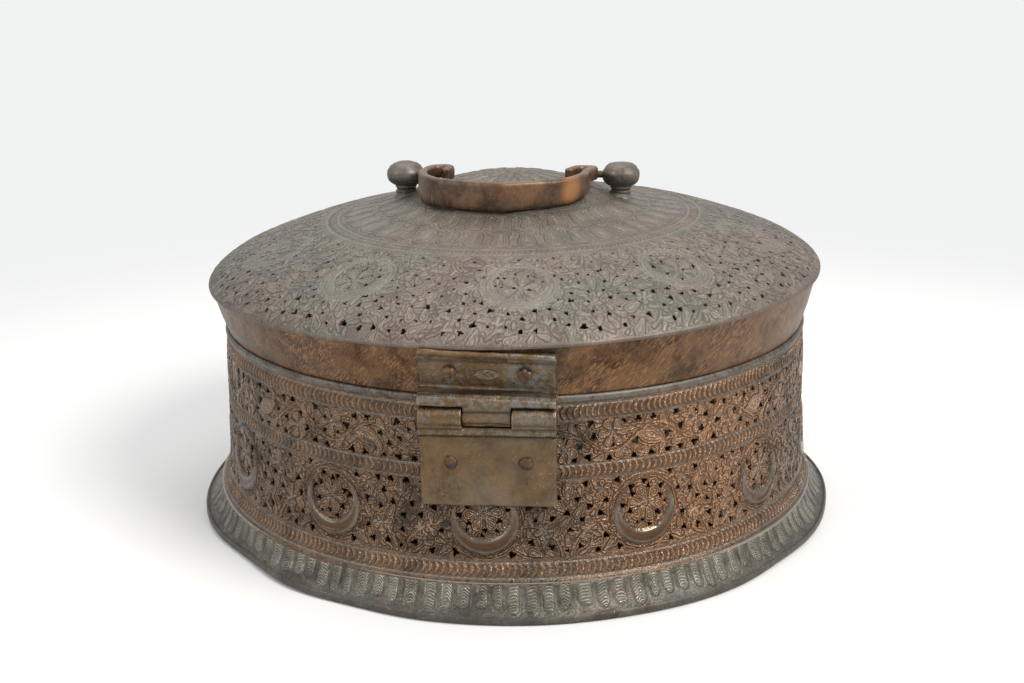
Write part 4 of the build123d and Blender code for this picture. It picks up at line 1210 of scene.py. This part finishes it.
class PAAN_OT_wall(bpy.types.Operator):
    """Add the pierced wall: two leafy friezes between punched borders"""

    bl_idname = "paan.wall"
    bl_label = "Pierced Wall"

    def execute(self, context):
        sizes = context.scene.paan_sizes
        known, radii = np.array(WALL).T
        radius = lambda z: smooth_between(z, known, radii)
        height = lambda z: z
        low, high = known[0], known[-1]
        mean = 125.0
        cell = sizes.cell / MM
        depth, chase, moon_height = (v / MM for v in (sizes.wall_relief, sizes.chasing, sizes.moon))
        strokes = 330
        bands = [
            ("wall_lowest_border", low, 21.5, 0.5), ("wall_moon_frieze", 21.5, 50.7, cell),
            ("wall_middle_border", 50.7, 57.0, 0.5), ("wall_leaf_frieze", 57.0, 73.0, cell),
            ("wall_top_border", 73.0, 79.6, 0.5), ("wall_lip", 79.6, high, 0.8),
        ]
        for number, (name, start, end, step) in enumerate(bands):
            count = int(round((end - start) / step))
            around = 5 * strokes if "border" in name else int(TAU * mean / step)
            sheet = Sheet(around, np.linspace(start, end, count + 1), mean, number + 3)
            strong = 1.0
            if "moon" in name:
                lower_frieze(sheet, start, end, sizes.wall_moons, (-math.pi / 2 - 0.02) * mean)
            elif "leaf" in name:
                upper_frieze(sheet, start, end, 22)
            elif "border" in name:
                strong = 0.7
                foot = 1.9 if "lowest" in name else 0.3
                punched_border(sheet, start + foot, end - (1.4 if foot > 1 else 0.4), strokes,
                               -1.0 if "top" in name else 1.0)
                if "lowest" in name:
                    for k in range(150):
                        sheet.pierce(k * TAU * mean / 150, start + 0.9, k, 0.36)
            lift = relief(sheet, strong * depth, chase, moon_height)
            parts = [(0.0, 0.5), (0.5, 1.0)] if "moon" in name else [(0.0, 1.0)]
            for side, part in zip("ab", parts):
                label = name + (f"_{side}" if len(parts) > 1 else "")
                piece = worked_shell(label, sheet, radius, height, 1, lift,
                                     sizes.sheet / MM, part)
                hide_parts("case_wall")
                finish(piece, "case", bpy.data.materials["case finish"])
        low_corner, high_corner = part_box("mouth_bead")
        bead = high_corner.x / MM
        top = high_corner.z / MM
        base = low_corner.z / MM
        half = 0.5 * (top - base)
        profile = [(bead - 3.0, base + 0.1)]
        for k in range(9):
            a = -math.pi / 2 + math.pi * k / 8
            profile.append((bead - 1.4 + 0.9 * math.cos(a), base + half + 0.97 * half * math.sin(a)))
        profile.append((bead - 3.0, top - 0.1))
        piece = turned("mouth_bead_round", profile)
        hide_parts("mouth_bead")
        finish(piece, "case", bpy.data.materials["bead finish"])
        return {"FINISHED"}


class PAAN_OT_foot(bpy.types.Operator):
    """Add the flared foot with its fringe of tongues and its rolled rim"""

    bl_idname = "paan.foot"
    bl_label = "Foot"

    def execute(self, context):
        known, radii = np.array(FOOT).T
        run = run_along(np.array(FOOT))
        radius = lambda s: smooth_between(s, run, radii)
        height = lambda s: smooth_between(s, run, known)
        total = run[-1]
        step = 0.55
        sheet = Sheet(int(TAU * 132 / step), np.linspace(0, total, int(total / step) + 1), 132, 21)
        tongues(sheet, 0.2, 0.78 * total, 128)
        lift = relief(sheet, 0.25, 0.25, 0.0)
        piece = worked_shell("foot_tongues", sheet, radius, height, -1, lift, 1.2)
        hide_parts("foot_skirt")
        finish(piece, "case", bpy.data.materials["foot finish"])
        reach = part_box("foot_rim")[1].x / MM
        profile = [(135.4, 2.2), (136.3, 2.55), (136.9, 2.6), (137.0, 2.95), (137.5, 3.1),
                   (reach, 2.4), (reach, 1.0), (137.4, 0.15), (136.4, 0.0), (135.4, 0.3)]
        piece = turned("foot_rolled_rim", profile, 320)
        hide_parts("foot_rim")
        finish(piece, "case", bpy.data.materials["flange finish"])
        return {"FINISHED"}


class PAAN_OT_lid(bpy.types.Operator):
    """Add the pierced dome in rings, its rim and the scratched band"""

    bl_idname = "paan.lid"
    bl_label = "Pierced Lid"

    def execute(self, context):
        sizes = context.scene.paan_sizes
        radius = lambda r: r
        height = dome_height
        depth, chase = sizes.lid_relief / MM, sizes.chasing / MM * 0.8
        rim_inner = 129.5
        rings = [("lid_heart", 3, 45, 0.62), ("lid_petals", 45, 73, 0.66),
                 ("lid_plait", 73, 82, 0.56), ("lid_field", 82, rim_inner, 0.64)]
        for number, (name, start, end, step) in enumerate(rings):
            rows = np.linspace(start, end, int(round((end - start) / step)) + 1)
            around = 1200 if name == "lid_plait" else int(TAU * (0.92 * end) / step)
            sheet = Sheet(around, rows, None, number + 11)
            if name == "lid_heart":
                lid_heart(sheet, start, end)
            elif name == "lid_petals":
                petal_ring(sheet, 58.5, end - 0.6, 40)
                petal_ring(sheet, start, 58, 30, 0.1)
            elif name == "lid_plait":
                punched_border(sheet, start + 1.6, end - 2.6, 240)
            else:
                lid_field(sheet, start, end, sizes.lid_moons, math.radians(-84.7))
            lift = relief(sheet, depth, chase, 0.12)
            parts = [(0, 1 / 3), (1 / 3, 2 / 3), (2 / 3, 1)] if name == "lid_field" else [(0.0, 1.0)]
            for side, part in zip("abc", parts):
                label = name + (f"_{side}" if len(parts) > 1 else "")
                piece = worked_shell(label, sheet, radius, height, -1, lift, sizes.sheet / MM, part)
                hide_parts("lid_dome")
                finish(piece, "lid", bpy.data.materials["lid finish"])
        top = float(height(0))
        profile = [(0.0, top - 1.4), (3.3, top - 1.4), (3.5, top - 0.2), (3.2, top + 0.3),
                   (2.2, top + 0.7), (1.0, top + 0.9), (0.0, top + 0.95)]
        piece = turned("lid_boss", profile, 96)
        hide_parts("lid_dome")
        finish(piece, "lid", bpy.data.materials["rim finish"])

        low_corner, high_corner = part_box("lid_band")
        edge = 130.0
        top = high_corner.z / MM
        base = low_corner.z / MM
        profile = [(rim_inner - 0.5, float(height(rim_inner - 0.5)) - 0.2),
                   (rim_inner, float(height(rim_inner)) + 0.15), (edge - 0.1, top + 2.3),
                   (edge, top + 1.8), (edge - 0.1, top + 1.3), (edge - 0.6, top + 1.0),
                   (rim_inner - 1.3, top + 1.0), (rim_inner - 1.3, top + 1.6)]
        piece = turned("lid_rim", profile, 360)
        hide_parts("lid_dome")
        finish(piece, "lid", bpy.data.materials["rim finish"])

        mouth = 123.4
        wide = high_corner.x / MM
        profile = []
        slope = (wide - mouth) / (top - base)
        lid_edge = top + 1.3
        for k in range(14):
            z = base + (lid_edge - base) * k / 13
            profile.append((mouth + slope * (z - base) + 0.10 * math.sin(0.5 * z), z))
        profile += [(mouth - 1.5 + slope * (z - base), z) for z in (lid_edge, 0.5 * (base + top), base)]
        piece = turned("lid_band_scratched", profile, 360)
        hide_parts("lid_band")
        finish(piece, "lid", bpy.data.materials["band finish"])
        return {"FINISHED"}


class PAAN_OT_hinge(bpy.types.Operator):
    """Add the two cast hinge leaves, their rivets and the pin"""

    bl_idname = "paan.hinge"
    bl_label = "Hinge"

    def execute(self, context):
        leaf = bpy.data.materials["hinge finish"]
        corner = lambda gap: np.clip(gap, 0, 1.6) ** 2 / 3.2

        def askew(points, normals=None):
            x, y, z = points.T
            move = np.zeros(points.shape)
            move[:, 2] = -0.035 * (x - 14) * np.clip((z - 81) / 3, 0, 1)
            return move

        dip = lambda v, at, wide: np.exp(-((v - at) / wide) ** 2)

        def upper(points, normals):
            x, y, z = points.T
            move = askew(points)
            front = np.clip(-normals[:, 1] * 2 - 0.4, 0, 1)
            step = np.clip((97.6 - z) / 1.0, 0, 1) * np.clip((z - 86) / 1.0, 0, 1)
            bar = np.sqrt(np.clip(1 - ((z - 82.7) / 2.8) ** 2, 0, 1))
            back = np.clip((79.6 - z) / 0.8, 0, 1) * (np.abs(x) < 14)
            move[:, 1] = front * (0.7 + 0.3 * step - 0.8 * dip(z, 99.6, 1.3) - 0.65 * bar + 0.7 * back)
            move[:, 0] = -np.sign(x) * corner(z - 99.4) * np.clip((np.abs(x) - 21) / 3.6, 0, 1)
            return move

        def lower(points, normals):
            x, y, z = points.T
            move = np.zeros(points.shape)
            front = np.clip(-normals[:, 1] * 2 - 0.4, 0, 1)
            move[:, 1] = front * (0.7 * dip(z, 70.0, 0.8)
                                  + 0.4 * dip(z, 73.0, 0.5) + 0.12 * np.sin(x * 0.21 + 1) * (z < 69))
            move[:, 0] = -np.sign(x) * corner(43.9 - z) * np.clip((np.abs(x) - 21) / 3.6, 0, 1)
            return move

        def upper_marks(points):
            x, y, z = points.T
            halo = sum(dip(np.hypot(x - side * 13.9, (z - 93) * 1.2), 4.6, 1.9) for side in (-1, 1))
            oval = np.hypot(x / 3.6, (z - 92.6) / 1.6)
            inside = np.abs((np.abs(z - 92.6) - 0.5 * x) % 1.3 - 0.65) / 0.65
            chased = np.where(oval < 1, inside, 0) + dip(oval, 1, 0.16)
            # grey film, most on the top lip, the bar and round the rivets; on the lip and the bar it is
            # partly a painted reflection of the light from above
            film = 0.3 + dip(z, 99.6, 2.0) + 1.1 * dip(z, 83, 2.6) + halo + 0.4 * dip(z, 88, 1.5)
            # painted shadow: dark lines under the top lip, above the bar and under the bar, where the
            # bar shades the knuckle
            shadow_line = 0.8 * dip(z, 86.0, 0.5) + 0.9 * dip(z, 79.5, 0.6) + 0.4 * dip(z, 97.3, 0.4)
            return {"filmed": np.clip(film, 0, 0.85), "chased": np.clip(chased, 0, 1),
                    "sooted": np.clip(shadow_line, 0, 1)}

        def lower_marks(points):
            x, y, z = points.T
            brown = dip(x, 8, 12) * dip(z, 61, 4) + dip(x, 16, 6) * dip(z, 51, 6)
            # the pale lip and knuckle tops: grey film that is partly a painted reflection of the light
            # from above
            ridge = dip(z, 71.6, 0.9) + 0.8 * dip(z, 77, 2.5)
            # painted shadow: dark lines under the lip and at the foot of the knuckles
            shadow_line = 0.75 * dip(z, 70.0, 0.55) + 0.6 * dip(z, 73.0, 0.4)
            return {"filmed": np.clip(0.18 + 0.6 * ridge - 0.5 * brown, 0, 1), "sooted": shadow_line}

        for name, node, body, work, marks, seed in (
            ("hinge_leaf_lower", "hinge_lower_leaf", "case", lower, lower_marks, 1),
            ("hinge_leaf_upper", "hinge_upper_leaf", "lid", upper, upper_marks, 5),
        ):
            piece = dressed(name, node, bevel=0.7, segments=4, cuts=0.38, dents=0.12, dent_size=7,
                            seed=seed, carve=work, values=marks)
            finish(piece, body, leaf)
        for name, node, body, work in (
            ("hinge_rivets_lower_worn", "hinge_lower_rivets", "case", None),
            ("hinge_rivets_upper_worn", "hinge_upper_rivets", "lid", askew),
            ("hasp_rivets_worn", "hasp_rivets", "case", None),
        ):
            piece = dressed(name, node, bevel=0.5, segments=4, cuts=0.28, dents=0.45, dent_size=3.5,
                            seed=2, carve=work)
            finish(piece, body, bpy.data.materials["rivet finish"])
        for name, node in (("hinge_pin_worn", "hinge_pin"), ("hasp_pin_worn", "hasp_pin")):
            piece = dressed(name, node)
            finish(piece, "case", bpy.data.materials["iron finish"])
        return {"FINISHED"}


class PAAN_OT_handle(bpy.types.Operator):
    """Add the bail and the two turned posts that carry it"""

    bl_idname = "paan.handle"
    bl_label = "Handle"

    def execute(self, context):
        plan = [(26.6, -9.0), (26.3, -4.4)]
        for k in range(1, 12):
            a = math.pi - math.pi * k / 12
            plan.append((30.5 + 4.2 * math.cos(a), -4.4 + 4.2 * math.sin(a)))
        plan += [(34.7, -4.4), (35.1, -9.0), (34.9, -14.0), (34.0, -20.0), (31.6, -26.5),
                 (27.2, -32.2), (21.0, -36.6), (14.0, -39.6), (6.0, -42.2)]
        plan = [(-x, y) for x, y in plan] + [(0.2, -43.6)] + plan[::-1]
        plan = np.array(plan)
        run = run_along(plan)
        fine = np.unique(np.concatenate([np.arange(0, run[-1], 0.7), [run[-1]], run]))
        plan = np.stack([smooth_between(fine, run, plan[:, k]) for k in (0, 1)], axis=1)
        ramp = np.clip((-plan[:, 1] - 3) / 7, 0, 1)
        plan[:, 0] *= 1 - ramp * np.where(plan[:, 0] > 0, 0.04, 0.015)
        plan[:, 0] -= 2.2 * ramp
        away = np.hypot(plan[:, 0], plan[:, 1] - 1.5)
        base = np.interp(plan[:, 1], (-21, -8.5), (133.4, 139.2))
        base = np.maximum(base, dome_height(away) + 0.9)
        top = np.interp(plan[:, 1], (-30, -20, -8.5), (145.1, 145.1, 144.8))
        piece = swept("bail_filed", plan, top, base, 4.1)
        smoother = piece.modifiers.new("Smooth", "SUBSURF")
        smoother.levels = smoother.render_levels = 1
        apply_modifiers(piece)
        battered(piece, 0.16, 12, 4)
        soften(piece, 40)
        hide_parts("handle_bail")
        finish(piece, "bail", bpy.data.materials["bail finish"])
        for name, node, side in (("post_left_turned", "handle_post_left", -1),
                                 ("post_right_turned", "handle_post_right", 1)):
            out = side * 46.0
            seat = float(dome_height(46.0))
            profile = [(0.0, seat - 3.0), (5.6, seat - 3.0), (6.0, seat - 0.5), (5.6, seat + 0.2),
                       (4.6, seat + 0.9), (4.1, seat + 1.4), (4.3, seat + 1.9), (4.3, seat + 2.3),
                       (3.8, seat + 2.7), (4.2, seat + 3.2), (4.6, seat + 3.6)]
            for degrees in range(-62, 90, 9):
                a = math.radians(degrees)
                flat = math.copysign(abs(math.sin(a)) ** 0.9, math.sin(a))
                groove = 0.35 * sum(math.exp(-((degrees - g) / 5.0) ** 2) for g in (28, 46, 62))
                profile.append(((8.0 - groove) * math.cos(a) ** 0.75, 140.9 + 5.2 * flat))
            profile.append((0.0, 146.1))
            piece = turned(name, profile, 64, 40, False)
            bevelled = np.array([v.co for v in piece.data.vertices]) / MM
            x, y, z = bevelled.T
            lean = np.clip((seat + 3.2 - z) / 3.2, 0, 1)
            z = z + lean * (dome_height(np.hypot(x + out, y)) - seat)
            piece.data.vertices.foreach_set("co", (np.stack([x + out, y, z], 1) * MM).ravel())
            battered(piece, 0.16, 7, 3 + side)
            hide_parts(node)
            finish(piece, "lid", bpy.data.materials["post finish"])
            bpy.ops.object.select_all(action="DESELECT")
            bpy.ops.mesh.primitive_cylinder_add(vertices=24, radius=1.5 * MM, depth=9.0 * MM)
            rod = bpy.context.object
            rod.name = name.replace("turned", "pin")
            rod.data.name = rod.name
            spots = np.array([v.co for v in rod.data.vertices]) / MM
            spots = np.stack([spots[:, 2] + side * 36.5, spots[:, 1], 140.92 + spots[:, 0]], 1)
            rod.data.vertices.foreach_set("co", (spots * MM).ravel())
            soften(rod, 40)
            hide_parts(node)
            finish(rod, "lid", bpy.data.materials["iron finish"])
        return {"FINISHED"}


class PAAN_OT_hasp(bpy.types.Operator):
    """Add the hasp on the case and the staple with its plate on the lid"""

    bl_idname = "paan.hasp"
    bl_label = "Hasp and Staple"

    def execute(self, context):
        for name, node, body, slot, paint in (
            ("hasp_leaf_worn", "hasp_fixed_leaf", "case", "hinge_brass", "hinge finish"),
            ("hasp_strap_worn", "hasp_strap", "hasp", "hinge_brass", "hinge finish"),
            ("staple_plate_worn", "staple_rosette", "lid", "hinge_brass", "hinge finish"),
            ("staple_bent", "staple", "lid", "post_brass", "post finish"),
        ):
            piece = dressed(name, node, cuts=0.42, dents=0.18, dent_size=6)
            finish(piece, body, bpy.data.materials[paint])
        return {"FINISHED"}


class PAAN_OT_inside(bpy.types.Operator):
    """Give the collar, floor, ledge and tray their dull tinned finish"""

    bl_idname = "paan.inside"
    bl_label = "Inside"

    def execute(self, context):
        for node in ("lid_collar", "tray_ledge", "bottom_plate", "tray_pan", "tray_dividers"):
            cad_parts[node].data.materials.clear()
            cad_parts[node].data.materials.append(bpy.data.materials["tin finish"])
        for node in ("post_washers", "tray_knob"):
            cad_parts[node].data.materials.clear()
            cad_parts[node].data.materials.append(bpy.data.materials["post finish"])
        return {"FINISHED"}


class PAAN_OT_stage(bpy.types.Operator):
    """Add the pale floor, the soft lights and the camera"""

    bl_idname = "paan.stage"
    bl_label = "Stage"

    def execute(self, context):
        scene = context.scene
        colours = scene.paan_colours
        bpy.ops.object.select_all(action="DESELECT")
        bpy.ops.mesh.primitive_plane_add(size=8.0, location=(0, 0, 0))
        floor = context.object
        floor.name = "floor"
        floor.data.materials.append(backdrop("floor finish", colours.floor))
        floor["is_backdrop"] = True

        world = bpy.data.worlds.new("studio")
        scene.world = world
        world.use_nodes = True
        tree = world.node_tree
        tree.nodes.clear()
        rays = tree.nodes.new("ShaderNodeLightPath").outputs
        seen = math_node(tree, "MAXIMUM", rays["Is Camera Ray"], rays["Is Glossy Ray"])
        tint = blend(tree, seen, (0.92, 0.95, 1.0, 1.0), (0.93, 0.935, 0.94, 1.0))
        power = spread(tree, seen, 0.0, 1.0, 0.42, 0.95)
        glow = add_node(tree, "ShaderNodeBackground", {"Color": tint, "Strength": power})
        end = tree.nodes.new("ShaderNodeOutputWorld")
        tree.links.new(glow.outputs[0], end.inputs[0])

        for name, place, size, power, tint in (
            ("key", (0.75, -0.55, 0.95), 0.7, 16.5, (1.0, 0.98, 0.95)),
            ("fill", (-0.95, -0.75, 0.75), 1.1, 6.5, (0.94, 0.97, 1.0)),
            ("top", (-0.1, 0.35, 1.2), 1.2, 8.0, (1.0, 1.0, 1.0)),
        ):
            lamp = bpy.data.lights.new(name, "AREA")
            lamp.shape = "DISK"
            lamp.size = size
            lamp.energy = power
            lamp.color = tint
            holder = bpy.data.objects.new(name, lamp)
            holder.location = place
            aim = Vector((0, 0, 0.07)) - Vector(place)
            holder.rotation_euler = aim.to_track_quat("-Z", "Y").to_euler()
            scene.collection.objects.link(holder)

        camera = bpy.data.cameras.new("view")
        camera.lens = 50.0
        camera.sensor_width = 36.0
        azimuth = math.radians(4.5)
        distance, high, aside = 0.6007, 0.2469, -0.001
        down = math.radians(16.73)
        roll = -0.0097
        holder = bpy.data.objects.new("view", camera)
        holder.matrix_world = (
            Matrix.Translation((
                distance * math.sin(azimuth) + aside * math.cos(azimuth),
                -distance * math.cos(azimuth) + aside * math.sin(azimuth), high))
            @ Matrix.Rotation(azimuth, 4, "Z")
            @ Matrix.Rotation(math.pi / 2 - down, 4, "X")
            @ Matrix.Rotation(roll, 4, "Z"))
        scene.collection.objects.link(holder)
        scene.camera = holder
        scene.view_settings.view_transform = "Standard"
        return {"FINISHED"}


class PAAN_PT_panel(bpy.types.Panel):
    """Sizes, colours and pieces of the paan box"""

    bl_label = "Paan Box"
    bl_idname = "PAAN_PT_panel"
    bl_space_type = "VIEW_3D"
    bl_region_type = "UI"
    bl_category = "Paan Box"

    def draw(self, context):
        for operator in STEPS:
            self.layout.operator(operator.bl_idname)
        for group in (context.scene.paan_sizes, context.scene.paan_colours):
            box = self.layout.box()
            for name in group.bl_rna.properties.keys():
                if name not in ("rna_type", "name"):
                    box.prop(group, name)


STEPS = (PAAN_OT_stage, PAAN_OT_finishes, PAAN_OT_wall, PAAN_OT_foot, PAAN_OT_lid, PAAN_OT_hinge,
         PAAN_OT_handle, PAAN_OT_hasp, PAAN_OT_inside)
CLASSES = (PaanBoxSizes, PaanBoxColours, *STEPS, PAAN_PT_panel)


def register():
    for item in CLASSES:
        bpy.utils.register_class(item)
    bpy.types.Scene.paan_sizes = PointerProperty(type=PaanBoxSizes)
    bpy.types.Scene.paan_colours = PointerProperty(type=PaanBoxColours)


def unregister():
    del bpy.types.Scene.paan_sizes
    del bpy.types.Scene.paan_colours
    for item in reversed(CLASSES):
        bpy.utils.unregister_class(item)


def main():
    register()
    for step in STEPS:
        group, name = step.bl_idname.split(".")
        getattr(getattr(bpy.ops, group), name)()
    visual_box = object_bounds()
    ({"cad": [list(corner) for corner in cad_box],
               "visual": [list(corner) for corner in visual_box]})


if __name__ == "__main__":
    main()
